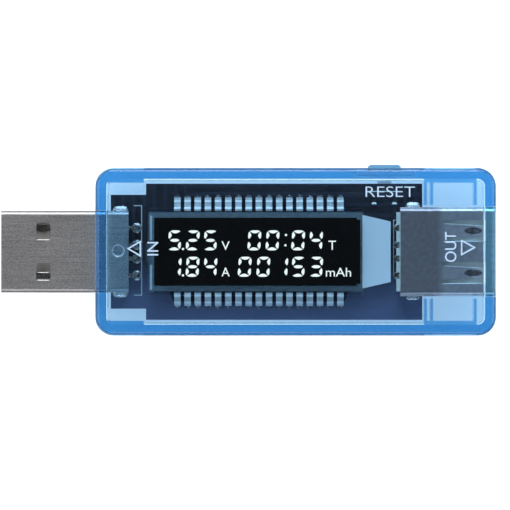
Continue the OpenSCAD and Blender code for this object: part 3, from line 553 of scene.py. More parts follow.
def board_finish():
    """Satin blue-black lacquer over tracks, with a painted reflection that lightens it towards -Y.
    """
    material, tree, out = new_material("board_lacquer")
    where = add(tree, "TexCoord")
    apart = add(tree, "SeparateXYZ", {0: where.outputs["Object"]})
    comb = place(tree, tracks)
    cloud = place(tree, mottle, Scale=250.0)
    fibres = place(tree, mottle, Scale=2500.0)
    painted_sheen = add(tree, "MapRange", {"Value": apart.outputs["Y"], "From Min": PAINTED_SHEEN_START_Y,
                                   "From Max": PAINTED_SHEEN_FULL_Y})
    dark = add(tree, "Mix", {0: cloud.outputs["Mask"], 6: (0.006, 0.006, 0.012, 1),
                             7: (0.01, 0.011, 0.02, 1)}, data_type="RGBA")
    tracked = add(tree, "Mix", {0: comb.outputs["Mask"], 6: dark.outputs[2],
                                7: (0.017, 0.02, 0.036, 1)}, data_type="RGBA")
    # painted reflection: the lacquer turns lighter and bluer towards -Y and covers the tracks there
    with_painted_sheen = add(tree, "Mix", {0: painted_sheen.outputs[0], 6: tracked.outputs[2],
                               7: (0.1, 0.12, 0.22, 1)}, data_type="RGBA")
    high = add(tree, "Math", {0: fibres.outputs["Mask"], 1: 0.25, 2: comb.outputs["Mask"]},
               operation="MULTIPLY_ADD")
    relief = add(tree, "Bump", {"Height": high.outputs[0], "Strength": 0.3,
                                "Distance": 0.03 * MM})
    rough = add(tree, "MapRange", {"Value": cloud.outputs["Mask"], "To Min": 0.3, "To Max": 0.42})
    shader = add(tree, "BsdfPrincipled", {
        "Base Color": with_painted_sheen.outputs[2], "Roughness": rough.outputs[0],
        "Normal": relief.outputs[0]})
    tree.links.new(shader.outputs[0], out.inputs["Surface"])
    return material


board_lacquer = board_finish()
print("board lacquer ready")

# %% [markdown]
# ## Things that give light
# The lit segments and the glow in the light guide are the only parts of the meter with light of
# their own. Their strength varies a little, as over a real display with lamps at one side.

# %% Lit segments and the milky light guide
def lit(name, colour, strength, base, roughness=0.5, uneven=0.12):
    """A surface that glows, a little unevenly, over a plain diffuse base."""
    material, tree, out = new_material(name)
    cloud = place(tree, mottle, Scale=180.0)
    bright = add(tree, "MapRange", {"Value": cloud.outputs["Mask"], "To Min": 1 - uneven,
                                    "To Max": 1.0})
    glow = add(tree, "Mix", {0: bright.outputs[0], 6: (0, 0, 0, 1), 7: (*colour, 1)},
               data_type="RGBA")
    shader = add(tree, "BsdfPrincipled", {
        "Base Color": (*base, 1), "Roughness": roughness, "Emission Color": glow.outputs[2],
        "Emission Strength": strength})
    tree.links.new(shader.outputs[0], out.inputs["Surface"])
    return material


segment_light = lit("segment_light", (1.0, 0.86, 0.66), 1.3, (0.3, 0.3, 0.3), uneven=0.06)
guide_light = lit("guide_light", (0.6, 0.8, 1.0), 0.15, (0.62, 0.7, 0.78), 0.35, 0.15)
print("lit finishes ready")

# %% [markdown]
# ## Finishes of the small parts
# Every remaining slot of the frame gets its own values. Metals differ mostly in roughness and
# grain: rolled nickel on the connectors, bright nickel on the contacts, dull tin on the leads and
# rippled solder. The plastics differ in how coarse their moulded skin is. Inside the case a
# shell mirrors blue plastic instead of the room, so the two shells get a painted reflection: a
# tint along X, bluer under the walls, darker behind the plug's wall and brighter over the fingers.

# %% Fill the table of finishes
GREY_EDGE = (0.8, 0.81, 0.83)
# painted reflection: tints along X for the shells, plain outside the case, blue and brighter inside
# it
IN_THE_ROOM = (1, 1, 1)
UNDER_PLUG_WALL, BEHIND_PLUG_WALL = (0.5, 0.9, 1.3), (0.68, 0.84, 0.95)
OVER_FINGERS, UNDER_SOCKET_WALL = (1.4, 1.55, 1.6), (1.0, 1.9, 2.1)
plug_painted_reflection = [(case_low.x - 0.15 * MM, IN_THE_ROOM), (case_low.x + 0.1 * MM, UNDER_PLUG_WALL),
             (case_low.x + 1.4 * MM, UNDER_PLUG_WALL), (case_low.x + 1.7 * MM, BEHIND_PLUG_WALL)]
socket_painted_reflection = [(socket_back + 5.4 * MM, IN_THE_ROOM), (socket_back + 6.4 * MM, OVER_FINGERS),
               (case_high.x - 1.7 * MM, OVER_FINGERS), (case_high.x - 1.4 * MM, UNDER_SOCKET_WALL)]
finishes = {
    "casing_blue": case_plastic,
    "button_blue": button_plastic,
    "board_mask": board_lacquer,
    "moulded_black": finish("moulded_epoxy", (0.012, 0.012, 0.013), (0.022, 0.022, 0.024),
                            (0.5, 0.7), scale=6000, bump=0.5, edge=(0.05, 0.05, 0.055)),
    "resistor_black": finish("resistor_glaze", (0.01, 0.01, 0.012), (0.02, 0.02, 0.022),
                             (0.2, 0.35), scale=3000, bump=0.2, coat=0.5),
    "capacitor_ceramic": finish("fired_ceramic", (0.33, 0.2, 0.1), (0.42, 0.27, 0.15),
                                (0.4, 0.6), scale=4000, bump=0.3, edge=(0.5, 0.36, 0.22)),
    "tinned_leads": finish("tin_plate", (0.72, 0.78, 0.82), (0.84, 0.88, 0.92), (0.28, 0.42),
                           metallic=0.72, scale=3000, bump=0.25, edge=GREY_EDGE),
    "connector_steel": finish("rolled_nickel", (0.22, 0.22, 0.228), (0.6, 0.6, 0.62),
                              (0.36, 0.46), metallic=1.0, scale=4300, bump=0.13,
                              edge=GREY_EDGE, grain=5000, painted_reflection=plug_painted_reflection),
    "socket_steel": finish("dull_nickel", (0.34, 0.29, 0.31), (0.44, 0.38, 0.4), (0.335, 0.345),
                           metallic=1.0, scale=1500, bump=0.0, painted_reflection=socket_painted_reflection),
    "plunger_nylon": finish("pale_nylon", (0.5, 0.6, 0.72), (0.6, 0.7, 0.8), (0.4, 0.6),
                            scale=3000, bump=0.2),
    "connector_plastic": finish("connector_nylon", (0.7, 0.7, 0.66), (0.78, 0.78, 0.75),
                                (0.4, 0.55), scale=1500, bump=0.2, edge=(0.88, 0.88, 0.85)),
    "contact_nickel": finish("bright_nickel", (0.5, 0.5, 0.5), (0.64, 0.63, 0.61), (0.2, 0.34),
                             metallic=1.0, scale=1500, bump=0.1, grain=5000),
    "solder": finish("reflowed_solder", (0.3, 0.31, 0.32), (0.62, 0.63, 0.65), (0.18, 0.34),
                     metallic=0.95, scale=2600, bump=0.5),
    "polariser_film": finish("polariser_black", (0.004, 0.003, 0.003), (0.005, 0.004, 0.004),
                             (0.08, 0.14), scale=300, bump=0.01),
    "guide_plastic": finish("guide_strip", (0.008, 0.016, 0.04), (0.014, 0.026, 0.06),
                            (0.15, 0.3), scale=900, bump=0.1, edge=(0.05, 0.08, 0.14)),
    "display_glass": glass,
    "edge_seal": finish("sealant_bead", (0.1, 0.13, 0.17), (0.15, 0.18, 0.22),
                        (0.5, 0.7), scale=1500, bump=0.3),
    "white_film": finish("white_film", (0.78, 0.8, 0.82), (0.86, 0.87, 0.88), (0.5, 0.6),
                         scale=400, bump=0.05),
    "light_guide": guide_light,
    "lamp_body": finish("lamp_phosphor", (0.8, 0.72, 0.3), (0.85, 0.8, 0.42), (0.4, 0.5),
                        scale=4000, bump=0.3),
    "foam_pad": finish("foam", (0.012, 0.012, 0.012), (0.03, 0.03, 0.03), (0.9, 1.0),
                       scale=5000, bump=0.9),
    "switch_plastic": finish("switch_nylon", (0.014, 0.014, 0.016), (0.026, 0.026, 0.028),
                             (0.4, 0.6), scale=3500, bump=0.3, edge=(0.06, 0.06, 0.065)),
    "spring_steel": finish("bright_strip", (0.62, 0.62, 0.64), (0.7, 0.7, 0.72), (0.15, 0.25),
                           metallic=1.0, scale=1500, bump=0.1, grain=6000),
}
for row in frame["record"]["subparts"]:
    holder = nodes[row["node"]]
    holder.data.materials.clear()
    holder.data.materials.append(finishes[row["material_slot"]])
print(len(finishes), "finishes on", len(nodes), "pieces")

# %% [markdown]
# ## Digits of the display
# Each digit is seven petals. A petal's outer side is bowed, so that a digit has round corners,
# and it tapers to a point at both ends, so that neighbours meet at a thin gap. All seven are
# one formula with different ends, and the whole digit leans a little to the right.

# %% Sizes of a digit, and which petals each one lights
DIGIT_WIDTH, DIGIT_HEIGHT = 1.91 * MM, 2.95 * MM
PETAL = 0.45 * MM
BOW = 0.18 * MM
TRIM, MIDDLE_TRIM = 0.2 * MM, 0.27 * MM
LEAN = 0.07
DOT_RADIUS = 0.17 * MM
LIT_RISE = 0.012 * MM
SUNK = 0.003 * MM
PETALS = {
    "a": ((0, 1), (1, 1), -1), "b": ((1, 1), (1, 0.5), -1), "c": ((1, 0.5), (1, 0), -1),
    "d": ((0, 0), (1, 0), 1), "e": ((0, 0.5), (0, 0), 1), "f": ((0, 1), (0, 0.5), 1),
    "g": ((0, 0.5), (1, 0.5), 0),
}
LIT = {"0": "abcdef", "1": "bc", "2": "abged", "3": "abgcd", "4": "fgbc", "5": "afgcd",
       "8": "abcdefg"}
print(len(LIT), "digits from", len(PETALS), "petals")

# %% One petal
def petal(start, end, side):
    """Outline of one petal between two corners of the digit.

    Along the petal s goes from -1 to 1. The outer edge stays on the digit's outline and bows
    in by a little times s to the fourth; the inner edge stands off it by the petal's width
    times 1 minus s to the power 2.2, so it tapers to a point. The middle petal has both edges
    alike, half the width each way. The trim at each end leaves the gap to the next petal.
    """
    start, end = np.array(start, float), np.array(end, float)
    size = np.array([DIGIT_WIDTH, DIGIT_HEIGHT])
    a, b = start * size, end * size
    along = (b - a) / np.linalg.norm(b - a)
    across = np.array([-along[1], along[0]])
    if side:
        centre = size / 2
        across *= np.sign(((centre - (a + b) / 2) * across).sum())
    trim = TRIM if side else MIDDLE_TRIM
    s = np.linspace(-1, 1, 13)
    mid, half = (a + b) / 2, np.linalg.norm(b - a) / 2 - trim
    spine = mid + np.outer(s * half, along)
    if side:
        outer = BOW * np.abs(s) ** 4
        inner = outer + (PETAL - 0.5 * outer) * (1 - np.abs(s) ** 2.2)
    else:
        inner = 0.5 * PETAL * (1 - np.abs(s) ** 3)
        outer = -inner
    first = spine + np.outer(outer, across)
    last = spine + np.outer(inner, across)
    outline = np.concatenate([first, last[-2:0:-1]])
    area = np.cross(outline, np.roll(outline, -1, axis=0)).sum()
    return outline if area > 0 else outline[::-1]


print("a petal has", len(petal(*PETALS["a"])), "points")

# %% A digit and a dot
def digit(character, x, y):
    """The lit petals of one digit with its low left corner at (x, y), leaned to the right."""
    shapes = []
    for name in LIT[character]:
        outline = petal(*PETALS[name])
        outline[:, 0] += outline[:, 1] * LEAN
        shapes.append(slab(outline + (x, y), film_z - SUNK, film_z + LIT_RISE))
    return shapes


def dot(x, y):
    """A round point between digits."""
    return [slab(circle(x, y, DOT_RADIUS), film_z - SUNK, film_z + LIT_RISE)]


print("an eight has", len(digit("8", 0, 0)), "lit petals")

# %% [markdown]
# ## The two rows
# The upper row shows the voltage and the time, the lower one the current and the charge. Each
# entry is a character and how many millimetres its left edge lies from the left edge of the
# black film.

# %% Lay out the rows on the film
FIRST_ROW = film_low.y + 4.9 * MM
SECOND_ROW = film_low.y + 1.02 * MM
UPPER = [("5", 1.28), ("2", 3.93), ("5", 6.52), ("0", 12.98), ("0", 15.65), ("0", 19.41),
         ("4", 22.03)]
LOWER = [("1", 1.28), ("8", 3.9), ("4", 6.52), ("0", 11.56), ("0", 14.3), ("1", 16.93),
         ("5", 19.43), ("3", 22.05)]
shapes = []
for character, x in UPPER:
    shapes += digit(character, film_low.x + x * MM, FIRST_ROW)
for character, x in LOWER:
    shapes += digit(character, film_low.x + x * MM, SECOND_ROW)
for x, y, row in [(3.55, 0.2, FIRST_ROW), (18.6, 0.75, FIRST_ROW), (18.68, 2.26, FIRST_ROW),
                  (3.55, 0.2, SECOND_ROW)]:
    shapes += dot(film_low.x + x * MM, row + y * MM)
piece("display_digits", join(shapes), segment_light, smooth=False)

# %% [markdown]
# ## Lettering
# The letters V, A, T and mAh on the display, and the words RESET, IN and OUT on the case, are
# plain words. Blender's own font is a plain sans serif, so a text object turned into a mesh
# serves well. It becomes a mesh before it is placed, so that its place is in its points.

# %% Turn a word into a mesh
CAPITAL_SHARE = 0.73  # a capital letter's height as a share of the font's size


def word(text, width, height, x, y, z0, z1, quarter_turns=0, weight=0.0):
    """Points and faces of a word that fills width x height, its low left corner at (x, y).

    The outline is scaled to the box, each quarter turn swaps (x, y) for (-y, x), and the
    weight moves every outline outwards by that length before the scaling.
    """
    curve = bpy.data.curves.new(text, "FONT")
    curve.body = text
    curve.size = height / CAPITAL_SHARE
    curve.offset = weight
    curve.resolution_u = 4
    curve.extrude = (z1 - z0) / 2
    holder = bpy.data.objects.new(text, curve)
    bpy.context.collection.objects.link(holder)
    mesh = bpy.data.meshes.new_from_object(holder.evaluated_get(
        bpy.context.evaluated_depsgraph_get()))
    mesh.calc_loop_triangles()
    points = np.empty(len(mesh.vertices) * 3)
    mesh.vertices.foreach_get("co", points)
    points = points.reshape(-1, 3)
    faces = np.empty(len(mesh.loop_triangles) * 3, np.int32)
    mesh.loop_triangles.foreach_get("vertices", faces)
    bpy.data.objects.remove(holder)
    flat = points[:, :2] - points[:, :2].min(0)
    flat *= np.array([width, height]) / flat.max(0)
    for _ in range(quarter_turns):
        flat = np.column_stack([-flat[:, 1], flat[:, 0]])
    flat += np.array([x, y]) - flat.min(0)
    return np.column_stack([flat, points[:, 2] + (z0 + z1) / 2]), faces.reshape(-1, 3)


print("a capital is", CAPITAL_SHARE, "of the font's size")

# %% Put the units beside the digits
# each row: text, width, height, left edge from the film's, rise over the row, row
UNITS = [("V", 1.2, 1.3, 9.21, 0.04, 0), ("T", 1.1, 1.33, 24.92, 0.09, 0),
         ("A", 1.2, 1.3, 9.21, 0.06, 1), ("mAh", 3.7, 1.29, 24.54, 0.04, 1)]
shapes = [word(text, wide * MM, tall * MM, film_low.x + x * MM,
               (FIRST_ROW, SECOND_ROW)[row] + y * MM, film_z - SUNK, film_z + LIT_RISE)
          for text, wide, tall, x, y, row in UNITS]
piece("display_units", join(shapes), segment_light, smooth=False)

# %% [markdown]
# ## Printing on the case
# The case is printed in white ink: a word beside each connector with an arrow that shows which
# way the current goes, and a word beside the button. Ink stands a hundredth of a millimetre
# above the plastic, so it catches light at its edges; a colour in the plastic would not.

# %% White ink and its heights
ink = finish("print_ink", (0.46, 0.64, 0.88), (0.54, 0.72, 0.94), (0.35, 0.5), scale=5000,
             bump=0.3)
INK = 0.012 * MM
ink_z = cover_z - SUNK, cover_z + INK
print("ink stands", INK / MM, "mm high")

# %% An arrow head
def arrow(tip_x, base_x, y, half_height, line):
    """An arrow head drawn as an outline: a three-cornered band, its inner edge set in by line."""
    outer = np.array([[tip_x, y], [base_x, y - half_height], [base_x, y + half_height]])
    if base_x < tip_x:
        outer = outer[::-1]
    edges = np.linalg.norm(np.roll(outer, -1, axis=0) - outer, axis=1)
    area = abs(tip_x - base_x) * half_height
    incentre = (np.roll(edges, -1)[:, None] * outer).sum(0) / edges.sum()
    inner = incentre + (outer - incentre) * (1 - line * edges.sum() / (2 * area))
    print("arrow centre", (outer.mean(0) / MM).round(2))
    return band(outer, inner, *ink_z)


# %% Words and arrows on the case
mouth = socket_high.x
words = [
    word("RESET", 7.25 * MM, 1.55 * MM, button_x - 2.9 * MM, case_high.y - 4.27 * MM, *ink_z,
         weight=-0.02 * MM),
    word("IN", 1.98 * MM, 1.6 * MM, plug_back + 2.82 * MM, -0.55 * MM, *ink_z, quarter_turns=1),
    word("OUT", 4.4 * MM, 1.68 * MM, mouth - 7.4 * MM, -1.5 * MM, *ink_z, quarter_turns=1),
]
piece("case_words", join(words), ink, smooth=False)
ARROW_HALF, ARROW_LINE = 1.2 * MM, 0.2 * MM
arrows = [arrow(plug_back - 0.2 * MM, plug_back + 1.9 * MM, 0.45 * MM, ARROW_HALF, ARROW_LINE),
          arrow(mouth - 2.85 * MM, mouth - 5.05 * MM, 0.62 * MM, ARROW_HALF, ARROW_LINE)]
piece("case_arrows", join(arrows), ink, smooth=False)

# %% [markdown]
# ## Printing on the board
# Bare boards carry thin white outlines that show where each part sits. Two brackets, behind
# the plug and behind the socket, and a line along the switch are enough here.

# %% Outlines on the board
board_ink = finish("board_ink", (0.55, 0.6, 0.66), (0.7, 0.74, 0.8), (0.5, 0.7), scale=6000,
                   bump=0.2)
PRINT, PRINT_WIDTH = 0.015 * MM, 0.13 * MM
brackets = [
    [(plug_back + 0.75 * MM, 6.8 * MM), (plug_back + 1.9 * MM, 6.8 * MM),
     (plug_back + 1.9 * MM, -6.4 * MM), (plug_back + 0.75 * MM, -6.4 * MM)],
    [(socket_back - 0.65 * MM, 4.65 * MM), (socket_back - 0.93 * MM, 4.65 * MM),
     (socket_back - 0.93 * MM, -3.6 * MM), (socket_back - 0.65 * MM, -3.6 * MM)],
]
switch_line_y = switch_high.y - 0.95 * MM
switch_line = [(switch_low.x, switch_line_y), (switch_high.x + 0.2 * MM, switch_line_y)]
outlines = [stroke(path, PRINT_WIDTH, board_z - SUNK, board_z + PRINT)
            for path in brackets + [switch_line]]
piece("board_outlines", join(outlines), board_ink, smooth=False)

# %% [markdown]
# ## Solder on top of the board
# Solder climbs a pin and spreads over its ring of copper, so it ends in a hollow curve, like
# a trumpet's bell. That curve, turned round the pin, is the fillet: height falls off as the
# square of the distance still to go.

# %% Fillets round the connector tails
solder = finishes["solder"]
CONTACT_Y = np.array([-3.5, -1.0, 1.0, 3.5]) * MM
TAIL_RADIUS = 0.3 * MM
HALF_TAIL = 0.125 * MM
RIM = 0.02 * MM  # thickness of the solder's outer rim


def fillet(x, y, r_pin, r_pad, height):
    """A ring of solder: height times the square of the share of the way back from the pad."""
    share = np.linspace(1, 0, 9)
    r = r_pad + (r_pin - r_pad) * share
    z = board_z + RIM + height * share ** 2
    foot = [(r_pad, board_z - SUNK), (r_pin, board_z - SUNK)]
    return turned(np.vstack([np.column_stack([r, z]), foot]), x, y)


plug_tail_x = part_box("plug_contacts")[1].x - HALF_TAIL
socket_tail_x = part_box("socket_contacts")[0].x + HALF_TAIL
tails = [fillet(plug_tail_x, y, TAIL_RADIUS, 0.75 * MM, 0.34 * MM) for y in CONTACT_Y]
tails += [fillet(socket_tail_x, y, TAIL_RADIUS, 0.6 * MM, 0.2 * MM) for y in CONTACT_Y]
piece("tail_fillets", join(tails), solder)

# %% [markdown]
# The shells' legs go through slots, and their solder lies along the metal as a long mound. Its
# outline is a half oval and its section is the same hollow curve. A turned shape would come out
# round, so here the profile is carried along the leg and shrunk at both ends.

# %% Mounds along the connector legs
def mound(x0, x1, y, side, reach, height):
    """Solder along a wall from x0 to x1, on the side that the sign gives.

    Along the wall u goes from -1 to 1 and both reach and height shrink as sqrt(1 - u^4).
    Across it v goes from 0 at the wall to 1 at the pad's edge, and the height is (1 - v)^2.
    """
    u = np.sin(np.linspace(-math.pi / 2, math.pi / 2, 17))
    swell = np.sqrt(np.clip(1 - u ** 4, 1e-6, 1))[:, None]
    v = np.linspace(0, 1, 7)[None]
    top_y = y + side * reach * swell * v
    top_z = board_z + RIM + height * swell * (1 - v) ** 2
    foot_y = np.concatenate([top_y[:, -1:], top_y[:, :1]], axis=1)
    foot_z = np.full_like(foot_y, board_z - SUNK)
    ys, zs = np.hstack([top_y, foot_y]), np.hstack([top_z, foot_z])
    xs = np.repeat(((x0 + x1) / 2 + u * (x1 - x0) / 2)[:, None], ys.shape[1], axis=1)
    middle = np.stack([xs, ys, zs], -1)
    first = np.repeat(middle[:1].mean(1, keepdims=True), ys.shape[1], axis=1)
    last = np.repeat(middle[-1:].mean(1, keepdims=True), ys.shape[1], axis=1)
    points = np.concatenate([first, middle, last]).reshape(-1, 3)
    return points, quads(len(u) + 2, ys.shape[1], wrap_cols=True)


legs = []
for side in (-1, 1):
    legs.append(mound(plug_back - 2.4 * MM, plug_back - 0.05 * MM, side * plug_high.y, side,
                      0.75 * MM, 0.5 * MM))
    legs.append(mound(socket_back + 0.8 * MM, socket_back + 3.0 * MM, side * socket_high.y, side,
                      (0.7 + 0.1 * side) * MM, 0.5 * MM))
piece("leg_mounds", join(legs), solder)
HALF_PAD = 0.38 * MM
pads = [mound(x - HALF_PAD, x + HALF_PAD, switch_low.y + 0.55 * MM, 1, 0.3 * MM, 0.04 * MM)
        for x in (button_x - 1.55 * MM, button_x + 1.45 * MM)]
piece("peg_pads", join(pads), finishes["tinned_leads"])

# %% [markdown]
# ## Cut edges of the sheet metal
# Punching leaves a rounded, shiny edge along every window, and that edge is what the eye finds
# first. The frame's edges are sharp, so fine round wires are laid along the ones that face the
# light. Their shape is the real rounded edge; their pale colour is a painted highlight, and a
# thicker arc on the dimple's rim paints its bright crescent. Rounding the whole shell would show
# the same, but its mesh belongs to the frame.

# %% A round wire
WIRE_SIDES = 8
LEVEL_POINTS = 8


def wire(path, radius):
    """A round wire along a path of 3-D points: rings of eight points square to the path.

    A ring is centre + radius x (cos a x side + sin a x up), where side is level and square to
    the path's direction and up is square to both. The ends are shrunk to points.
    """
    path = np.asarray(path, float)
    step = np.gradient(path, axis=0)
    step /= np.linalg.norm(step, axis=1, keepdims=True)
    across = np.cross(step, [0, 0, 1.0])
    across /= np.linalg.norm(across, axis=1, keepdims=True)
    up = np.cross(across, step)
    path = np.vstack([path[:1], path, path[-1:]])
    across = np.vstack([across[:1], across, across[-1:]])
    up = np.vstack([up[:1], up, up[-1:]])
    a = np.linspace(0, 2 * math.pi, WIRE_SIDES, endpoint=False)[None, :, None]
    r = np.full((len(path), 1, 1), radius)
    r[[0, -1]] = 0
    rings = path[:, None] + r * (np.cos(a) * across[:, None] + np.sin(a) * up[:, None])
    return rings.reshape(-1, 3), quads(len(path), WIRE_SIDES, wrap_cols=True)


def level(x0, x1, y, z):
    """Evenly spaced points from x0 to x1 at one y and one height."""
    x = np.linspace(x0, x1, LEVEL_POINTS)
    return np.column_stack([x, np.full_like(x, y), np.full_like(x, z)])


def flat_wire(outline, z, radius):
    """A wire along a flat outline at one height."""
    return wire(np.column_stack([outline, np.full(len(outline), z)]), radius)


print("a wire has", WIRE_SIDES, "sides")

# %% Where the spring fingers run
FINGER_Y = 3.1 * MM
FINGER_LENGTH = 5.9 * MM
FINGER_HALF, SLOT_HALF = 1.04 * MM, 1.58 * MM
FINGER_TAPER = 0.063
root_x = socket_back + 6.2 * MM
tip_x = root_x + FINGER_LENGTH


def finger_z(x):
    """Height of a spring finger's upper face: down 0.55 mm at its bend, then up to its tip."""
    return socket_high.z + np.interp(x - root_x, [0, 4.32 * MM, 6 * MM],
                                     [0, -0.55 * MM, -0.15 * MM])


print("fingers from", round(root_x / MM, 2), "to", round(tip_x / MM, 2), "mm")

# %% Wires with a painted highlight along the fingers, the windows and the dimple
edges = []
for y in (FINGER_Y, -FINGER_Y):
    finger = level(root_x + 0.3 * MM, tip_x, y + FINGER_HALF, 0)
    finger[:, 1] -= FINGER_TAPER * (finger[:, 0] - root_x)
    finger[:, 2] = finger_z(finger[:, 0])
    edges.append(wire(finger, 0.06 * MM))
    edges.append(wire(level(root_x, tip_x, y - SLOT_HALF, socket_high.z), 0.06 * MM))
window_x = plug_low.x + np.array([5.3, 7.15]) * MM
for y, drop in ((1.75 * MM, 0), (-4.2 * MM, 0), (-3.06 * MM, 0.5 * MM)):
    edges.append(wire(level(*window_x, y, plug_high.z - drop), 0.07 * MM))
dimple_x = plug_back - 1.5 * MM
around = circle(dimple_x, 0.1 * MM, 0.9 * MM, 33)
# painted highlight: a thicker wire on one arc of the dimple's rim
highlight_crescent = circle(dimple_x, 0.14 * MM, 0.88 * MM, 33)[19:31]
edges.append(flat_wire(np.vstack([around, around[:2]]), plug_high.z, 0.05 * MM))
edges.append(flat_wire(highlight_crescent, plug_high.z, 0.09 * MM))
# painted highlight: the wires' pale colour stands in for the light that the rounded edges catch
piece("cut_edges", join(edges),
      finish("edge_painted_highlight", (0.66, 0.7, 0.74), (0.84, 0.87, 0.9), (0.25, 0.4), metallic=0.6,
             scale=3000, bump=0.1))

# %% A painted highlight along the button's flange edge
button_edge = level(button_low.x + 0.3 * MM, button_high.x - 0.3 * MM,
                    button_high.y - 1.6 * MM, button_high.z)
# painted highlight: a pale wire for the light line at the flange's narrow gap
piece("flange_edge", wire(button_edge, 0.05 * MM),
      finish("flange_painted_highlight", (0.5, 0.72, 0.9), (0.6, 0.8, 0.95), (0.2, 0.3), bump=0.02),
      body="button")

# %% [markdown]
# Each spring finger ends in a pressed oval hollow, which looks dark because it mirrors the
# inside of the socket. That dark reflection is painted into the disc's colour. The hollow follows
# the bend of its finger, so it is a disc whose height comes from the finger's own height formula.

# %% Hollows in the spring fingers, painted dark for the reflection they show
def hollow(x, y, rx, ry, lift):
    """A closed oval disc on a finger: rings of radius s, at the finger's height plus a lip.

    The upper face is lift x (0.2 + 0.8 s^2) above the finger, so it dips in the middle, and the
    lower face lies half the lift under it.
    """
    rings, n = 9, 40
    s = np.concatenate([np.linspace(0.001, 1, rings), np.linspace(1, 0.001, rings)])[:, None]
    a = np.linspace(0, 2 * math.pi, n, endpoint=False)[None]
    xs, ys = x + rx * s * np.cos(a), y + ry * s * np.sin(a)
    upper = (np.arange(2 * rings) < rings)[:, None]
    zs = finger_z(xs) + np.where(upper, lift * (0.2 + 0.8 * s ** 2), -0.5 * lift)
    points = np.stack([xs, ys, zs], -1).reshape(-1, 3)
    return points, quads(2 * rings, n, wrap_rows=True, wrap_cols=True)


hollows = [hollow(root_x + 4.5 * MM, side * FINGER_Y, 1.3 * MM, 0.5 * MM, 0.03 * MM)
           for side in (-1, 1)]
# painted reflection: a dark colour for the dark inside of the socket that each hollow mirrors
piece("finger_hollows", join(hollows),
      finish("hollow_painted_reflection", (0.05, 0.045, 0.05), (0.16, 0.14, 0.15), (0.3, 0.5), metallic=0.7,
             scale=1800, bump=0.1))

# %% [markdown]
# ## The display's broken edge
# A glass is filled with liquid crystal through a gap at one end, which is then stopped with a
# drop of clear glue. On both sides of the drop the scribed edge scatters light and shows as a
# pale line. Two thin strips along that edge give it a clear place to be seen.

# %% Pale strips on the display's end
glass_low, glass_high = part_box("lcd_front_glass")
edge_frost = finish("frosted_edge", (0.3, 0.36, 0.42), (0.45, 0.52, 0.58), (0.5, 0.7),
                    scale=5000, bump=0.4)
strip_x = glass_low.x + np.array([0.3, 0.62]) * MM


def strip(y0, y1):
    """A rectangle between two Y values, standing on the glass."""
    (xa, xb), z = strip_x, glass_high.z
    outline = np.array([[xa, y0], [xb, y0], [xb, y1], [xa, y1]])
    return slab(outline, z - SUNK, z + 0.03 * MM)


strips = [strip(1.7 * MM, glass_high.y - 0.6 * MM), strip(glass_low.y + 0.3 * MM, -1.95 * MM)]
piece("glass_end_strips", join(strips), edge_frost, smooth=False)

# %% The drop of glue
DROP_Y, DROP_HALF, DROP_BULGE = -0.1 * MM, 1.7 * MM, 0.28 * MM
share = np.linspace(-1, 1, 15)
bulge = glass_low.x - 0.02 * MM - DROP_BULGE * np.sqrt(1 - share ** 4)
back_x = glass_low.x - 0.01 * MM
bead = np.vstack([np.column_stack([bulge, DROP_Y + DROP_HALF * share]),
                  [[back_x, DROP_Y + DROP_HALF], [back_x, DROP_Y - DROP_HALF]]])
seal_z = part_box("lcd_edge_seal")[0].z
piece("filling_drop", join([slab(bead, seal_z - 0.5 * MM, seal_z + 0.55 * MM)]),
      finish("clear_glue", (0.05, 0.06, 0.07), (0.08, 0.09, 0.1), (0.1, 0.2), scale=900,
             bump=0.1), smooth=False)

# %% [markdown]
# ## Surroundings
# A pale table, and soft light from large panels round it. The face of the case mirrors what is
# straight above it, so the sky is dark there and bright towards the horizon: the lettering
# stays readable, and the edges still get their highlights. The table has a little light of its
# own, so it stays evenly white. Mirror rays meet a dimmer one, or the metals would lose their
# grey.

# %% Lay the table
floor_material, tree, out = new_material("pale_table")
cloud = place(tree, mottle, Scale=20.0)
pale = add(tree, "Mix", {0: cloud.outputs["Mask"], 6: (0.84, 0.84, 0.84, 1),
                         7: (0.86, 0.86, 0.86, 1)}, data_type="RGBA")
bright = add(tree, "BsdfPrincipled", {"Base Color": pale.outputs[2], "Roughness": 0.9,
                                      "Emission Color": (1, 1, 1, 1), "Emission Strength": 0.68})
dim = add(tree, "BsdfPrincipled", {"Base Color": (0.3, 0.3, 0.3, 1), "Roughness": 0.9})
ray = add(tree, "LightPath")
mirrored = add(tree, "Math", {0: ray.outputs["Is Glossy Ray"],
                              1: ray.outputs["Is Transmission Ray"]}, operation="SUBTRACT",
               use_clamp=True)
table = add(tree, "MixShader", {0: mirrored.outputs[0], 1: bright.outputs[0],
                                2: dim.outputs[0]})
tree.links.new(table.outputs[0], out.inputs["Surface"])
half_table = 3.0
corners = half_table * np.array([[-1, -1, 0], [1, -1, 0], [1, 1, 0], [-1, 1, 0]])
floor_mesh = bpy.data.meshes.new("floor")
floor_mesh.from_pydata(corners.tolist(), [], [(0, 1, 2, 3)])
floor_mesh.materials.append(floor_material)
floor = bpy.data.objects.new("floor", floor_mesh)
bpy.context.collection.objects.link(floor)
print("table", 2 * half_table, "m wide")

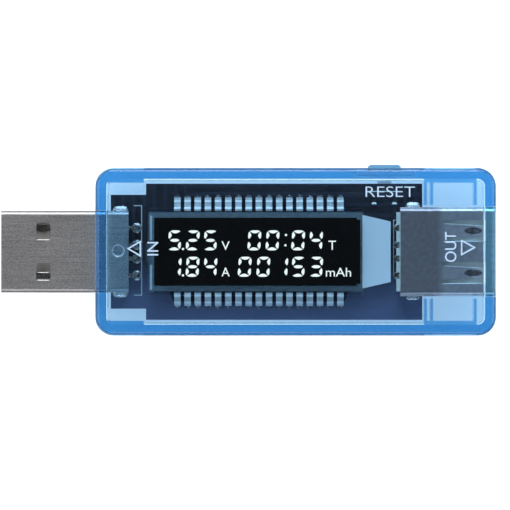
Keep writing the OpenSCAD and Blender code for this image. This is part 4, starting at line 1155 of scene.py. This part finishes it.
# %% Hang the sky
world = bpy.data.worlds.new("sky")
world.use_nodes = True
bpy.context.scene.world = world
sky = world.node_tree
sky.nodes.clear()
direction = add(sky, "TexCoord")
height = add(sky, "SeparateXYZ", {0: direction.outputs["Generated"]})
fade = add(sky, "MapRange", {"Value": height.outputs["Z"], "From Min": 0.1, "From Max": 0.95,
                             "To Min": 1.0, "To Max": 0.035}, interpolation_type="SMOOTHSTEP")
side = add(sky, "MapRange", {"Value": height.outputs["Y"], "From Min": -1.0, "From Max": 1.0,
                             "To Min": 0.4, "To Max": 1.4})
glow = add(sky, "Math", {0: fade.outputs[0], 1: side.outputs[0]}, operation="MULTIPLY")
background = add(sky, "Background", {"Color": (1, 1, 1, 1), "Strength": glow.outputs[0]})
sky_out = sky.nodes.new("ShaderNodeOutputWorld")
sky.links.new(background.outputs[0], sky_out.inputs["Surface"])
print("sky ready")

# %% Put up the lamps
PANEL_AWAY, PANEL_SIZE = 0.5, 0.3


def panel(name, azimuth, elevation, power):
    """A soft square lamp half a metre away, aimed at the meter."""
    data = bpy.data.lights.new(name, "AREA")
    data.energy = power
    data.size = PANEL_SIZE
    lamp = bpy.data.objects.new(name, data)
    bpy.context.collection.objects.link(lamp)
    a, e = math.radians(azimuth), math.radians(elevation)
    back = Vector((math.sin(a) * math.cos(e), -math.cos(a) * math.cos(e), math.sin(e)))
    lamp.location = back * PANEL_AWAY
    lamp.rotation_mode = "QUATERNION"
    lamp.rotation_quaternion = (-back).to_track_quat("-Z", "Y")


LAMPS = [("front_panel", 0, 45, 0.55), ("back_panel", 180, 42, 1.5),
         ("left_panel", 270, 45, 0.62), ("right_panel", 90, 45, 0.62)]
for name, azimuth, elevation, power in LAMPS:
    panel(name, azimuth, elevation, power)
scene = bpy.context.scene
scene.view_settings.view_transform = "Standard"
scene.cycles.max_bounces = 20
scene.cycles.transmission_bounces = 18
scene.cycles.transparent_max_bounces = 24
print("stage set")

# %% [markdown]
# ## End of the scene

# %% End
print("scene built")
